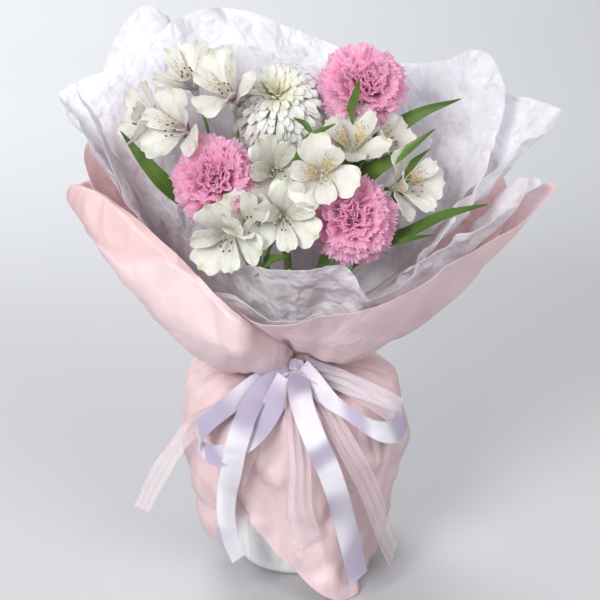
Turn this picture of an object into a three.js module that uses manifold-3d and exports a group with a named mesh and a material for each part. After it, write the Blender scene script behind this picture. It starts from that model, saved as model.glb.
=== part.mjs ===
// A wrapped bouquet standing in a fluted vase: three carnations, one large chrysanthemum and
// twelve alstroemeria blooms on their leafy stems, inside a tissue collar, a paper collar and a
// paper skirt, tied at the waist with a satin ribbon and an organza ribbon.
// Millimetres, +Z up. The origin is the middle of the vase's foot; the front faces -Y.
import * as THREE from "three";
import { mergeVertices } from "three/addons/utils/BufferGeometryUtils.js";
import Module from "manifold-3d";

const wasm = await Module();
wasm.setup();

// ---------------------------------------------------------------- driving dimensions
const GAP = 0.45; // clearance kept between neighbouring pieces
const WAIST_Z = 184; // height of the tie
// The upright stretch of a sheet at the tie, from its end to where it starts to spread, and how
// much sooner each further layer does so.
const COLLAR_PINCH = { start: 176, end: 196, step: -0.5 };
const SKIRT_PINCH = { start: 184, end: 161, step: 1.6 };
const LAYER_PITCH = 1.3; // one sheet to the next at the tie
const INNER_SHEET_R = 17.2; // radius of the innermost sheet at the tie
const SHEET_THICK = 0.8;
const PETAL_THICK = 0.8;
const VASE = { height: 150, foot: 46, belly: 53.5, bellyZ: 44, floor: 8, wall: 3.5 };
const FLUTES = { count: 18, depth: 1.4 };
const WATER = { top: 98, clear: 0.6 };
const STEM_RING = 10.5; // radius of the ring of stems at the tie
const STEM_SPREAD = 2.6; // how much wider the stems stand in the vase than at the tie
const CARNATION_R = 36; // head radius, a select-grade bloom of 72 mm
const CHRYSANTHEMUM_R = 40;
const TEPAL_LENGTH = 41; // alstroemeria, base to tip

// ---------------------------------------------------------------- small helpers
const rad = THREE.MathUtils.degToRad;
const V = (x, y, z) => new THREE.Vector3(x, y, z);

// Repeatable draws, so that every build gives the same flower.
function randomFrom(seed) {
  let state = seed;
  return (low, high) => {
    state = (state * 1664525 + 1013904223) % 4294967296;
    return low + ((high - low) * state) / 4294967296;
  };
}

// A closed BufferGeometry as a manifold-3d solid.
function solidOf(geometry) {
  const bare = new THREE.BufferGeometry().setAttribute("position", geometry.getAttribute("position"));
  if (geometry.index) bare.setIndex(geometry.index);
  const merged = mergeVertices(bare, 1e-4);
  const mesh = new wasm.Mesh({
    numProp: 3,
    vertProperties: new Float32Array(merged.attributes.position.array),
    triVerts: new Uint32Array(merged.index.array),
  });
  return new wasm.Manifold(mesh);
}

const joined = (solids) => wasm.Manifold.union(solids);

function largestBody(solid) {
  return solid.decompose().sort((a, b) => b.volume() - a.volume())[0];
}

function boxesMeet(a, b) {
  const [p, q] = [a.boundingBox(), b.boundingBox()];
  return [0, 1, 2].every((k) => p.min[k] < q.max[k] && q.min[k] < p.max[k]);
}

// Cuts a solid back from each of the others that it comes near.
function clearOf(solid, others) {
  return others.filter((o) => boxesMeet(solid, o)).reduce((left, o) => left.subtract(o), solid);
}

// ---------------------------------------------------------------- blades, tubes, frames
// A thin blade over surface(u, v), with nu by nv cells that are split alike on both faces. A sharp
// one thins out to nothing at its sides and tip. grow thickens a blade on every side, for the
// room that its neighbours leave it, and such a blade has blunt edges.
function blade(surface, [nu, nv], { thick, sharp = false, grow = 0 }) {
  const row = nu + 1;
  const cells = Array.from({ length: row * (nv + 1) }, (_, k) => [k % row, Math.floor(k / row)]);
  const grid = cells.map(([i, j]) => surface(i / nu, j / nv));
  const at = (i, j) => grid[j * row + i];
  const normals = cells.map(([i, j]) => {
    const across = at(Math.min(i + 1, nu), j).clone().sub(at(Math.max(i - 1, 0), j));
    const along = at(i, Math.min(j + 1, nv)).clone().sub(at(i, Math.max(j - 1, 0)));
    return across.cross(along).normalize();
  });
  const edge = ([i, j]) => sharp && !grow && (i === 0 || i === nu || j === nv);
  const middle = cells.map(([i, j], k) => {
    const out = V(0, 0, 0);
    if (i === 0) out.add(grid[k].clone().sub(at(1, j)).normalize());
    if (i === nu) out.add(grid[k].clone().sub(at(nu - 1, j)).normalize());
    if (j === 0) out.add(grid[k].clone().sub(at(i, 1)).normalize());
    if (j === nv) out.add(grid[k].clone().sub(at(i, nv - 1)).normalize());
    return grid[k].clone().addScaledVector(out, grow);
  });
  const half = cells.map((c) => (edge(c) ? 0 : thick / 2 + grow));
  const faces = [1, -1].flatMap((side) =>
    middle.map((p, k) => p.clone().addScaledVector(normals[k], side * half[k])),
  );
  const under = (k) => (half[k] ? k + grid.length : k);
  const index = [];
  const triangle = (a, b, c) => {
    if (a !== b && b !== c && c !== a) index.push(a, b, c);
  };
  const bothFaces = (a, b, c) => {
    triangle(a, b, c);
    triangle(under(a), under(c), under(b));
  };
  const wall = (a, b) => {
    triangle(a, under(a), under(b));
    triangle(a, under(b), b);
  };
  for (let j = 0; j < nv; j++) {
    for (let i = 0; i < nu; i++) {
      const [a, b] = [j * row + i, j * row + i + 1];
      const [c, d] = [a + row, b + row];
      if (i < nu / 2) [[a, b, c], [b, d, c]].forEach((t) => bothFaces(...t));
      else [[a, b, d], [a, d, c]].forEach((t) => bothFaces(...t));
    }
  }
  for (let i = 0; i < nu; i++) {
    wall(i, i + 1);
    wall(nv * row + i + 1, nv * row + i);
  }
  for (let j = 0; j < nv; j++) {
    wall((j + 1) * row, j * row);
    wall(j * row + nu, (j + 1) * row + nu);
  }
  return solidOf(indexed(faces, index));
}

// A pointed blade with a keel: along its stations it has a left edge, a right edge and a keel.
function keeled(section, stations) {
  const points = [];
  for (let j = 0; j < stations; j++) points.push(...section(j / stations));
  const tip = points.push(section(1)[0]) - 1;
  const index = [0, 1, 2];
  for (let j = 0; j < stations; j++) {
    for (let k = 0; k < 3; k++) {
      const [a, b] = [3 * j + k, 3 * j + ((k + 1) % 3)];
      if (j === stations - 1) index.push(a, tip, b);
      else index.push(a, b + 3, b, a, a + 3, b + 3);
    }
  }
  return solidOf(indexed(points, index));
}

function indexed(points, index) {
  const geometry = new THREE.BufferGeometry().setFromPoints(points);
  return geometry.setIndex(index);
}

// A round rod along a smooth curve through the points.
function rod(points, radius, sides, steps) {
  const shape = new THREE.Shape();
  for (let k = 0; k < sides; k++) {
    const a = (2 * Math.PI * k) / sides;
    const [x, y] = [radius * Math.cos(a), radius * Math.sin(a)];
    if (k) shape.lineTo(x, y);
    else shape.moveTo(x, y);
  }
  shape.closePath();
  const path = new THREE.CatmullRomCurve3(points, false, "centripetal");
  return solidOf(new THREE.ExtrudeGeometry(shape, { steps, bevelEnabled: false, extrudePath: path }));
}

function lathe(profile, sides) {
  const points = profile.map(([r, z]) => new THREE.Vector2(r, z));
  return new THREE.LatheGeometry(points, sides).rotateX(Math.PI / 2);
}

// The way a bloom faces: azimuth 0 is the front (-Y) and positive to the right (+X).
function facing(azimuth, elevation) {
  const [a, e] = [rad(azimuth), rad(elevation)];
  return V(Math.sin(a) * Math.cos(e), -Math.cos(a) * Math.cos(e), Math.sin(e));
}

// A frame at a place, with its z axis along the facing, turned by spin about it.
function aimed({ at, azimuth, elevation, spin = 0 }) {
  const z = facing(azimuth, elevation);
  const x = V(0, 0, 1).cross(z).normalize();
  const y = z.clone().cross(x);
  const turn = new THREE.Matrix4().makeBasis(x, y, z).setPosition(V(...at));
  return turn.multiply(new THREE.Matrix4().makeRotationZ(rad(spin)));
}

const placed = (solid, frame) => solid.transform(frame.elements);

// ---------------------------------------------------------------- sheets round the waist
// Smooth interpolation that never overshoots its stations (piecewise cubic, Fritsch-Carlson).
function smoothThrough(xs, ys) {
  const n = xs.length;
  const slope = xs.slice(1).map((x, k) => (ys[k + 1] - ys[k]) / (x - xs[k]));
  const tangent = xs.map((_, k) => {
    if (k === 0) return slope[0];
    if (k === n - 1) return slope[n - 2];
    const [a, b] = [slope[k - 1], slope[k]];
    return a * b <= 0 ? 0 : (2 * a * b) / (a + b);
  });
  return (x) => {
    let k = 0;
    while (k < n - 2 && x > xs[k + 1]) k++;
    const h = xs[k + 1] - xs[k];
    const t = Math.min(Math.max((x - xs[k]) / h, 0), 1);
    const [t2, t3] = [t * t, t * t * t];
    return (
      (2 * t3 - 3 * t2 + 1) * ys[k] +
      (t3 - 2 * t2 + t) * h * tangent[k] +
      (3 * t2 - 2 * t3) * ys[k + 1] +
      (t3 - t2) * h * tangent[k + 1]
    );
  };
}

// The surface of one sheet. stations are [angle, [r, z], [r, z], ...] from the tie outwards, with
// the angle in degrees from the front, positive to the right. Its upright stretch is added here.
// wave is [height, waves per turn, phase], and grows towards the free edge.
function sheetSurface({ level, stations, wave = [0, 0, 0], down = false }) {
  const r0 = INNER_SHEET_R + LAYER_PITCH * level;
  const pinch = down ? SKIRT_PINCH : COLLAR_PINCH;
  const end = [r0 + 0.3, pinch.end + pinch.step * level];
  const angles = stations.map((s) => s[0]);
  const columns = stations.map((s) => [[r0, pinch.start], end, ...s.slice(1)]);
  const rows = columns[0].map((_, k) => k);
  const across = (pick) => rows.map((k) => smoothThrough(angles, columns.map((c) => c[k][pick])));
  const [radii, heights] = [across(0), across(1)];
  return (u, v) => {
    const angle = angles[0] + (angles.at(-1) - angles[0]) * u;
    const along = (f) => smoothThrough(rows, f.map((g) => g(angle)))(v * rows.at(-1));
    const swell = wave[0] * v ** 3 * Math.sin(rad(angle) * wave[1] + wave[2]);
    const [r, a] = [along(radii) + swell, rad(angle)];
    return V(r * Math.sin(a), -r * Math.cos(a), along(heights) + swell * 0.4);
  };
}

function sheet(spec, grow = 0) {
  const cells = [spec.columns, spec.stations[0].length];
  return blade(sheetSurface(spec), cells, { thick: SHEET_THICK, grow });
}

const SHEETS = [
  {
    name: "tissue_inner_back",
    colour: "tissue",
    level: 0,
    columns: 10,
    wave: [2, 11, 0.5],
    stations: [
      [118, [64, 258], [126, 345]],
      [140, [60, 264], [130, 368]],
      [162, [60, 268], [128, 388]],
      [185, [58, 272], [124, 398]],
      [208, [58, 274], [124, 408]],
      [222, [60, 272], [126, 404]],
    ],
  },
  {
    name: "tissue_back",
    colour: "tissue",
    level: 1,
    columns: 8,
    wave: [2, 9, 1],
    stations: [
      [166, [72, 262], [162, 392]],
      [178, [72, 264], [158, 408]],
      [195, [72, 268], [146, 428]],
      [208, [72, 268], [150, 432]],
      [222, [74, 268], [149, 430]],
      [235, [76, 262], [150, 398]],
    ],
  },
  {
    name: "tissue_back_right",
    colour: "tissue",
    level: 1,
    columns: 7,
    wave: [1.5, 12, 0],
    stations: [
      [104, [86, 248], [158, 324]],
      [116, [84, 256], [188, 386]],
      [126, [80, 262], [190, 402]],
      [140, [74, 268], [180, 387]],
      [156, [70, 266], [160, 380]],
    ],
  },
  {
    name: "tissue_right",
    colour: "tissue",
    level: 2,
    columns: 11,
    wave: [2, 10, 2],
    stations: [
      [62, [72, 236], [112, 292]],
      [86, [82, 244], [140, 326]],
      [97, [90, 248], [180, 350]],
      [105, [98, 250], [219, 368]],
      [116, [96, 252], [210, 369]],
      [134, [90, 252], [192, 374]],
      [150, [84, 254], [178, 376]],
      [167, [82, 252], [172, 372]],
    ],
  },
  {
    name: "tissue_back_left",
    colour: "tissue",
    level: 2,
    columns: 7,
    wave: [1.5, 14, 0],
    stations: [
      [-156, [84, 260], [152, 386]],
      [-145, [84, 262], [160, 415]],
      [-134, [86, 264], [170, 440]],
      [-125, [88, 260], [177, 414]],
      [-115, [90, 254], [175, 372]],
    ],
  },
  {
    name: "tissue_front_right",
    colour: "tissue",
    level: 3,
    columns: 14,
    wave: [1.2, 17, 0],
    stations: [
      [-34, [38, 230], [64, 256]],
      [-18, [38, 228], [76, 270]],
      [4, [40, 228], [84, 283]],
      [20, [44, 228], [90, 295]],
      [29, [50, 224], [92, 283]],
      [36, [56, 220], [98, 264]],
      [52, [68, 220], [112, 282]],
      [68, [80, 226], [130, 301]],
      [80, [90, 232], [158, 310]],
      [92, [98, 238], [190, 328]],
      [99, [98, 240], [180, 324]],
    ],
  },
  {
    name: "tissue_front_left",
    colour: "tissue",
    level: 4,
    columns: 15,
    wave: [1.2, 19, 1],
    stations: [
      [-112, [100, 254], [186, 382]],
      [-104, [96, 248], [161, 357]],
      [-96, [90, 242], [143, 333]],
      [-88, [84, 236], [127, 310]],
      [-78, [74, 230], [108, 286]],
      [-64, [62, 226], [97, 267]],
      [-48, [50, 228], [86, 261]],
      [-32, [44, 228], [70, 251]],
      [-14, [44, 225], [68, 243]],
      [2, [46, 222], [76, 247]],
      [14, [50, 220], [88, 257]],
    ],
  },
  {
    name: "tissue_left_corner",
    colour: "tissue",
    level: 5,
    columns: 6,
    wave: [1.5, 12, 2],
    stations: [
      [-136, [92, 254], [166, 380]],
      [-126, [94, 254], [172, 392]],
      [-118, [98, 252], [186, 388]],
      [-112, [104, 250], [207, 376]],
      [-107, [103, 248], [186, 366]],
      [-101, [100, 246], [166, 356]],
    ],
  },
  {
    name: "wrap_back",
    colour: "pink",
    level: 6,
    columns: 13,
    stations: [
      [84, [72, 208], [118, 246], [156, 292]],
      [104, [72, 210], [122, 252], [176, 312]],
      [124, [70, 216], [120, 268], [180, 338]],
      [148, [68, 218], [114, 272], [160, 338]],
      [176, [66, 220], [110, 278], [156, 352]],
      [206, [66, 220], [108, 284], [156, 374]],
      [228, [68, 220], [116, 280], [168, 368]],
      [243, [72, 216], [124, 268], [184, 342]],
      [254, [74, 212], [126, 262], [178, 330]],
      [264, [74, 210], [124, 255], [160, 314]],
    ],
  },
  {
    name: "wrap_right",
    colour: "pink",
    level: 7,
    columns: 15,
    stations: [
      [-38, [40, 212], [58, 228], [72, 244]],
      [-28, [38, 210], [62, 230], [82, 250]],
      [-10, [37, 208], [68, 230], [101, 255]],
      [10, [42, 203], [82, 228], [108, 261]],
      [30, [58, 199], [90, 228], [112, 268]],
      [50, [64, 198], [98, 232], [126, 279]],
      [68, [68, 198], [108, 236], [146, 294]],
      [82, [70, 197], [116, 232], [176, 306]],
      [95, [72, 197], [124, 234], [207, 321]],
      [104, [72, 197], [120, 232], [184, 296]],
      [114, [72, 197], [114, 228], [150, 266]],
    ],
  },
  {
    name: "wrap_left",
    colour: "pink",
    level: 8,
    columns: 14,
    stations: [
      [-132, [60, 199], [104, 234], [148, 280], [146, 284], [142, 282]],
      [-116, [62, 196], [112, 234], [172, 298], [169, 305], [162, 300]],
      [-98, [62, 192], [112, 230], [183, 308], [175, 320], [164, 313]],
      [-86, [62, 189], [110, 226], [164, 302], [154, 325], [145, 321]],
      [-70, [60, 187], [98, 213], [128, 268], [124, 304], [116, 303]],
      [-50, [58, 186], [84, 204], [102, 242], [102, 275], [95, 277]],
      [-30, [54, 187], [74, 201], [88, 224], [89, 246], [84, 247]],
      [-14, [40, 190], [44, 197], [46, 204], [46, 210], [44, 211]],
      [-4, [31, 193.5], [32, 195], [33, 197], [33.5, 199], [33, 200]],
    ],
  },
  {
    name: "skirt_right",
    colour: "pink",
    level: 9,
    columns: 14,
    down: true,
    wave: [1.2, 9, 0],
    stations: [
      [-62, [54, 171], [78, 158], [84, 142], [83, 133], [81, 126]],
      [-40, [54, 171], [78, 157], [84, 134], [81, 114], [78, 101]],
      [-20, [54, 171], [77, 157], [83, 121], [78, 86], [78, 60]],
      [4, [54, 171], [78, 157], [84, 120], [80, 66], [83, 22]],
      [27, [54, 171], [79, 157], [85, 120], [82, 60], [92, 1]],
      [48, [54, 171], [80, 157], [86, 120], [79, 56], [76, 6]],
      [90, [56, 172], [84, 159], [87, 122], [77, 58], [68, 10]],
      [135, [56, 172], [82, 158], [86, 120], [77, 58], [66, 9]],
      [172, [56, 172], [80, 158], [85, 120], [77, 58], [65, 8]],
    ],
  },
  {
    name: "skirt_left",
    colour: "pink",
    level: 10,
    columns: 12,
    down: true,
    wave: [1.2, 9, 1],
    stations: [
      [-198, [58, 175], [84, 162], [90, 122], [82, 60], [70, 14]],
      [-160, [58, 175], [86, 162], [90, 122], [82, 60], [70, 14]],
      [-120, [60, 175], [88, 163], [92, 124], [81, 62], [70, 18]],
      [-92, [60, 175], [88, 163], [92, 124], [80, 62], [67, 24]],
      [-66, [60, 175], [86, 162], [91, 124], [82, 66], [72, 26]],
      [-46, [58, 175], [84, 161], [90, 124], [84, 88], [82, 66]],
      [-28, [52, 175.5], [80, 163], [88, 140], [90, 116], [90, 98]],
      [-20, [52, 175.5], [79, 164], [86, 152], [88, 144], [88, 136]],
    ],
  },
];

// ---------------------------------------------------------------- vase and water
function vase() {
  const { height, foot, belly, bellyZ, floor, wall } = VASE;
  const outer = [[0, 0], [foot, 0], [foot + 5, 7], [belly, bellyZ], [belly, height]];
  const inner = [[belly, height], [belly, bellyZ], [foot, floor + 0.5]].map(([r, z]) => [r - wall, z]);
  const geometry = lathe([...outer, ...inner, [0, floor]], FLUTES.count * 2);
  const place = geometry.getAttribute("position");
  for (let k = 0; k < place.count; k++) {
    const [x, y] = [place.getX(k), place.getY(k)];
    const r = Math.hypot(x, y);
    if (r < belly - wall + 0.5) continue; // only the outer wall is fluted
    const groove = 0.5 + 0.5 * Math.cos(Math.atan2(y, x) * FLUTES.count);
    const scale = 1 - (FLUTES.depth * groove) / r;
    place.setXY(k, x * scale, y * scale);
  }
  return solidOf(geometry);
}

// The water, with a plain hole round each stem.
function water(stems) {
  const { foot, belly, bellyZ, floor, wall } = VASE;
  const [low, high] = [foot - wall - WATER.clear, belly - wall - WATER.clear];
  const profile = [[0, floor + 0.4], [low, floor + 1], [high, bellyZ], [high, WATER.top], [0, WATER.top]];
  return clearOf(solidOf(lathe(profile, 12)), stems);
}

// ---------------------------------------------------------------- stems
// A main stem: straight from the vase floor to its place in the ring at the tie, upright through
// the tie, then on through the points. The place is an angle to the left of +X, in degrees, or
// null for the middle stem.
function mainStem(place, via, radius) {
  const r = place === null ? 0 : STEM_RING;
  const [x, y] = [r * Math.cos(rad(place ?? 0)), r * Math.sin(rad(place ?? 0))];
  const foot = V(x * STEM_SPREAD, y * STEM_SPREAD, VASE.floor + 1.6);
  const tied = [-12, -8, 11].map((rise) => V(x, y, WAIST_Z + rise));
  const lower = rod([foot, tied[1]], radius, 5, 1);
  return lower.add(rod([tied[0], tied[2], ...via], radius, 5, 6));
}

// ---------------------------------------------------------------- carnation
// Rings of fan petals, from the flat guard ring to the upright middle: each is
// [petals, tilt from the axis, length, width].
const CARNATION_RINGS = [
  [6, 92, 37, 36],
  [6, 71, 36, 34],
  [4, 50, 33, 32],
  [3, 31, 30, 28],
  [2, 10, 28, 22],
];
const PETAL_ROOT = -9; // where the petals meet, below the middle of the head
const FRILL = 3; // height of the ruffles at the rim

function fanPetal({ turn, tilt, length, width }) {
  const [a, t] = [rad(turn), rad(tilt)];
  const side = V(-Math.sin(a), Math.cos(a), 0);
  return (u, v) => {
    const across = 2 * u - 1;
    const out = V(Math.sin(t) * Math.cos(a), Math.sin(t) * Math.sin(a), Math.cos(t));
    const normal = out.clone().cross(side);
    const tooth = v === 1 ? 1.3 * Math.cos(u * 4 * Math.PI) : 0;
    const reach = 5 + (length - 5) * v * (1 - 0.16 * across * across) + tooth;
    const ripple = FRILL * v * Math.sin(u * 3 * Math.PI + turn);
    return V(0, 0, PETAL_ROOT)
      .addScaledVector(out, reach)
      .addScaledVector(side, (across * (3 + (width - 3) * v)) / 2)
      .addScaledVector(normal, ripple);
  };
}

function carnation(seed) {
  const draw = randomFrom(seed);
  const scale = CARNATION_R / CARNATION_RINGS[0][2];
  const petals = CARNATION_RINGS.flatMap(([count, tilt, length, width], ring) =>
    Array.from({ length: count }, (_, k) => {
      const petal = {
        turn: (360 * (k + 0.5 * (ring % 2))) / count + draw(-4, 4),
        tilt: tilt + (k % 2 ? 4 : -4),
        length: length * scale * draw(0.96, 1.02),
        width: width * scale,
      };
      return blade(fanPetal(petal), [4, 1], { thick: PETAL_THICK * 2, sharp: true });
    }),
  );
  const core = new THREE.SphereGeometry(8, 7, 5).rotateX(Math.PI / 2);
  core.scale(1, 1, 0.7).translate(0, 0, PETAL_ROOT);
  return joined([solidOf(core), ...petals]);
}

// The room that a carnation takes, as a plain dome.
function carnationRoom() {
  const [r, low, high] = [CARNATION_R + 2.8, PETAL_ROOT - 5, PETAL_ROOT + 27 + GAP];
  const side = [[r * 0.9, low], [r, low + 7], [r * 0.82, high - 8], [r * 0.4, high]];
  return solidOf(lathe([[0, low], ...side, [0, high]], 12));
}

// The green calyx below a carnation and the stem that carries it.
const CALYX = { top: -14.6, length: 22, r: 6.2 };
function calyx() {
  const { top, length, r } = CALYX;
  const base = top - length;
  const side = [[2.6, base], [4.6, base + length * 0.2], [r, top - 3], [r - 0.6, top]];
  return solidOf(lathe([[0, base], ...side, [0, top]], 8));
}

// ---------------------------------------------------------------- chrysanthemum
const FLORETS = 42;
const CORE_R = 25;

// An incurved floret, boat-shaped, that leans outwards and closes over at its tip.
function floret({ polar, turn, length, width }) {
  const [p, a] = [rad(polar), rad(turn)];
  const side = V(-Math.sin(a), Math.cos(a), 0);
  const curl = rad(polar > 92 ? 10 : 62);
  const ray = (angle) => V(Math.sin(angle) * Math.cos(a), Math.sin(angle) * Math.sin(a), Math.cos(angle));
  return (v) => {
    const lean = p + rad(30) * v - curl * v * v;
    const spine = ray(p).multiplyScalar(CORE_R - 2.5).addScaledVector(ray(lean), length * v);
    const half = width * (0.3 + 0.75 * v * (1.3 - v));
    const keel = ray(lean + Math.PI / 2).multiplyScalar(v < 1 ? 1.6 : 0);
    const edge = (s) => spine.clone().addScaledVector(side, v < 1 ? s * half : 0);
    return [edge(-1), edge(1), spine.clone().add(keel)];
  };
}

function chrysanthemum(seed) {
  const draw = randomFrom(seed);
  const florets = Array.from({ length: FLORETS }, (_, k) => {
    const share = (k + 0.5) / FLORETS;
    const spec = {
      polar: THREE.MathUtils.radToDeg(Math.acos(1 - 1.4 * share)),
      turn: k * 137.508,
      length: (CHRYSANTHEMUM_R - CORE_R + 2.5) * (0.9 + 0.22 * share) * draw(0.95, 1.05),
      width: 6.4 + 2.6 * share,
    };
    return keeled(floret(spec), 3);
  });
  const core = solidOf(new THREE.IcosahedronGeometry(CORE_R, 1));
  return joined([core, ...florets]);
}

const chrysanthemumRoom = () => solidOf(new THREE.IcosahedronGeometry(CHRYSANTHEMUM_R + 1.5, 1));

// ---------------------------------------------------------------- alstroemeria
// Three broad outer tepals, and inside them two narrow upper ones and one lower one:
// [turn, width, length share, angle at the throat, angle at the tip], angles off the axis.
const TEPALS = [
  [90, 24, 1, 30, 68],
  [210, 24, 0.97, 30, 70],
  [330, 24, 0.97, 30, 70],
  [30, 13, 0.96, 12, 48],
  [150, 13, 0.96, 12, 48],
  [270, 13, 0.9, 12, 56],
];
const STAMENS = 6;

function tepal([turn, width, share, first, last], open) {
  const a = rad(turn);
  const out = V(Math.cos(a), Math.sin(a), 0);
  const side = V(-Math.sin(a), Math.cos(a), 0);
  const length = TEPAL_LENGTH * share;
  return (u, v) => {
    const [low, high] = [rad(first * open), rad(last * open)];
    const mean = low + ((high - low) * v) / 2;
    const turned = low + (high - low) * v;
    const across = 2 * u - 1;
    const half = (width / 2) * (0.14 + 1.95 * v ** 1.4 * (1.03 - v) ** 0.45);
    const normal = V(0, 0, Math.sin(turned)).addScaledVector(out, -Math.cos(turned));
    return V(0, 0, 3 + length * v * Math.cos(mean))
      .addScaledVector(out, 1 + length * v * Math.sin(mean))
      .addScaledVector(side, across * half)
      .addScaledVector(normal, 0.14 * half * across * across);
  };
}

function alstroemeria(open, grow = 0) {
  const leafy = { thick: 1.2, sharp: true, grow };
  const tepals = TEPALS.map((t) => blade(tepal(t, open), [2, 3], leafy));
  const throat = new THREE.CylinderGeometry(4 + grow, 2.4 + grow, 8 + 2 * grow, 6).rotateX(Math.PI / 2);
  const base = solidOf(throat.translate(0, 0, 4));
  const stamens = Array.from({ length: STAMENS }, (_, k) => {
    const needle = new THREE.ConeGeometry(1.1 + grow, 26 + 2 * grow, 3).rotateX(Math.PI / 2);
    return solidOf(needle.translate(0, 0, 17).rotateY(rad(14)).rotateZ(rad(60 * k)));
  });
  return joined([base, ...tepals, ...stamens]);
}

// ---------------------------------------------------------------- leaves
// A lance-shaped leaf along the points, from its root on a stem to its tip, turned by twist.
function leaf({ points, width, twist = 0, up = [0, -0.6, 0.8] }, grow = 0) {
  const path = new THREE.CatmullRomCurve3(points.map((p) => V(...p)), false, "centripetal");
  const surface = (u, v) => {
    const along = path.getTangent(v);
    const flat = V(...up).cross(along).normalize().applyAxisAngle(along, rad(twist * v));
    const normal = along.clone().cross(flat);
    const across = 2 * u - 1;
    const half = (width / 2) * Math.max(0.09, Math.sin(Math.PI * Math.min(v * 0.96 + 0.02, 1) ** 0.8));
    return path
      .getPoint(v)
      .addScaledVector(flat, across * half)
      .addScaledVector(normal, 0.18 * half * Math.abs(across));
  };
  return blade(surface, [2, 4], { thick: 1.2, sharp: true, grow });
}

// ---------------------------------------------------------------- ribbons
// How far from the vase's axis a ribbon lies at each height, just clear of the skirt.
const DRAPE = [
  [5, 98],
  [60, 93],
  [120, 96],
  [140, 94],
  [158, 89],
  [168, 78],
  [176, 64],
  [182, 50],
  [188, 38],
  [196, 36],
];
const drapeRadius = smoothThrough(DRAPE.map((d) => d[0]), DRAPE.map((d) => d[1]));

// A point on the front of the bouquet, lift away from the drape.
function onDrape([x, z, lift]) {
  const r = drapeRadius(z) + lift;
  return V(x, -Math.sqrt(r * r - x * x), z);
}

// A flat ribbon along a route of [x, z, lift]. It lies flat on the paper, or keeps one direction
// across it, as a loop does.
function ribbon({ route, across, cells }, width, thick, grow = 0) {
  const path = new THREE.CatmullRomCurve3(route.map(onDrape), false, "centripetal");
  const surface = (u, v) => {
    const p = path.getPoint(v);
    const look = V(p.x, p.y, 0).normalize();
    const flat = across ? V(...across) : look.cross(path.getTangent(v));
    return p.addScaledVector(flat.normalize(), (u - 0.5) * width);
  };
  return blade(surface, [1, cells], { thick, grow });
}

// ---------------------------------------------------------------- where everything goes
const CARNATIONS = [
  {
    name: "left",
    tie: 195,
    via: [[-28, 8, 240], [-54, 20, 290]],
    head: { at: [-61, -12, 336], azimuth: -10, elevation: 32, spin: 10 },
  },
  {
    name: "top",
    tie: 60,
    via: [[22, 32, 250], [42, 60, 325]],
    head: { at: [53, 36, 396], azimuth: 8, elevation: 40, spin: 40 },
  },
  {
    name: "right",
    tie: -75,
    via: [[16, -4, 226], [33, 7, 268]],
    head: { at: [43, -30, 311], azimuth: 4, elevation: 24, spin: 75 },
  },
];
const CHRYSANTHEMUM = {
  tie: 105,
  via: [[-6, 36, 256], [-14, 62, 312]],
  head: { at: [-12, 44, 372], azimuth: -2, elevation: 46 },
};

// Each spray: its stem through the tie to the whorl, its blooms, its leaves, and the few leaves
// that lie in front of the blooms.
const SPRAYS = [
  {
    name: "top_left",
    tie: 150,
    via: [[-28, 24, 244], [-54, 36, 300]],
    blooms: [
      { at: [-80, 24, 361], azimuth: -37, elevation: 26, spin: 12, open: 1 },
      { at: [-45, 23, 386], azimuth: -30, elevation: 45, spin: 40, open: 0.9 },
      { at: [-97, 33, 362], azimuth: -76, elevation: 26, spin: 0, open: 0.85 },
      { at: [-78, 63, 380], azimuth: -30, elevation: 62, spin: 20, open: 0.9 },
    ],
    leaves: [
      {
        points: [[-50, 34, 288], [-75, 20, 300], [-97, 12, 318], [-118, 10, 344], [-134, 10, 367]],
        width: 16,
      },
    ],
    front: [],
  },
  {
    name: "front",
    tie: -120,
    via: [[-14, -10, 226], [-26, -18, 262]],
    blooms: [
      { at: [-46, -25, 298], azimuth: -15, elevation: 6, spin: 20, open: 1 },
      { at: [-31, -24, 294], azimuth: -20, elevation: 50, spin: 60, open: 0.62 },
      { at: [-8, -23, 309], azimuth: 0, elevation: 16, spin: 0, open: 1 },
    ],
    leaves: [{ points: [[-18, -14, 238], [-25, -34, 264], [-21, -50, 283], [-4, -58, 291]], width: 15 }],
    front: [],
  },
  {
    name: "middle",
    tie: null,
    via: [[-4, 4, 240], [-10, 6, 290]],
    blooms: [{ at: [-17, 13, 332], azimuth: 8, elevation: 24, spin: 30, open: 0.9 }],
    leaves: [{ points: [[13, -14, 373], [8, -13, 380], [-1, -12, 385]], width: 5 }],
    front: [
      { points: [[-7, 5, 272], [4, -4, 318], [6, -11, 350], [12, -16, 370], [31, -15, 381]], width: 13 },
    ],
  },
  {
    name: "right",
    tie: 15,
    via: [[22, 14, 240], [33, 17, 298]],
    blooms: [
      { at: [44, 15, 345], azimuth: 0, elevation: 50, spin: 0, open: 1 },
      { at: [22, -15, 341], azimuth: -5, elevation: 20, spin: 20, open: 1 },
      { at: [57, 26, 338], azimuth: 60, elevation: 48, spin: 30, open: 0.8 },
    ],
    leaves: [
      {
        points: [[32, 16, 288], [50, 36, 325], [72, 42, 352], [98, 36, 373], [129, 26, 388]],
        width: 15,
        twist: 40,
      },
    ],
    front: [
      { points: [[31, 15, 284], [46, 3, 318], [62, -8, 341], [83, -9, 356], [107, -6, 374]], width: 14 },
      { points: [[32, 17, 292], [38, 24, 345], [41, 17, 372], [46, 6, 394], [49, 0, 412]], width: 12 },
    ],
  },
  {
    name: "far_right",
    tie: -30,
    via: [[34, 2, 236], [62, 10, 284]],
    blooms: [{ at: [75, 7, 321], azimuth: 45, elevation: 22, spin: 10, open: 1 }],
    leaves: [
      { points: [[56, 9, 274], [90, -10, 292], [116, -26, 312], [147, -30, 322]], width: 11 },
      { points: [[44, 5, 254], [66, -8, 276], [84, -34, 294], [105, -45, 303]], width: 8 },
      { points: [[50, 8, 264], [78, 4, 312], [90, 0, 342], [104, -2, 357]], width: 9 },
    ],
    front: [],
  },
];

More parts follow.
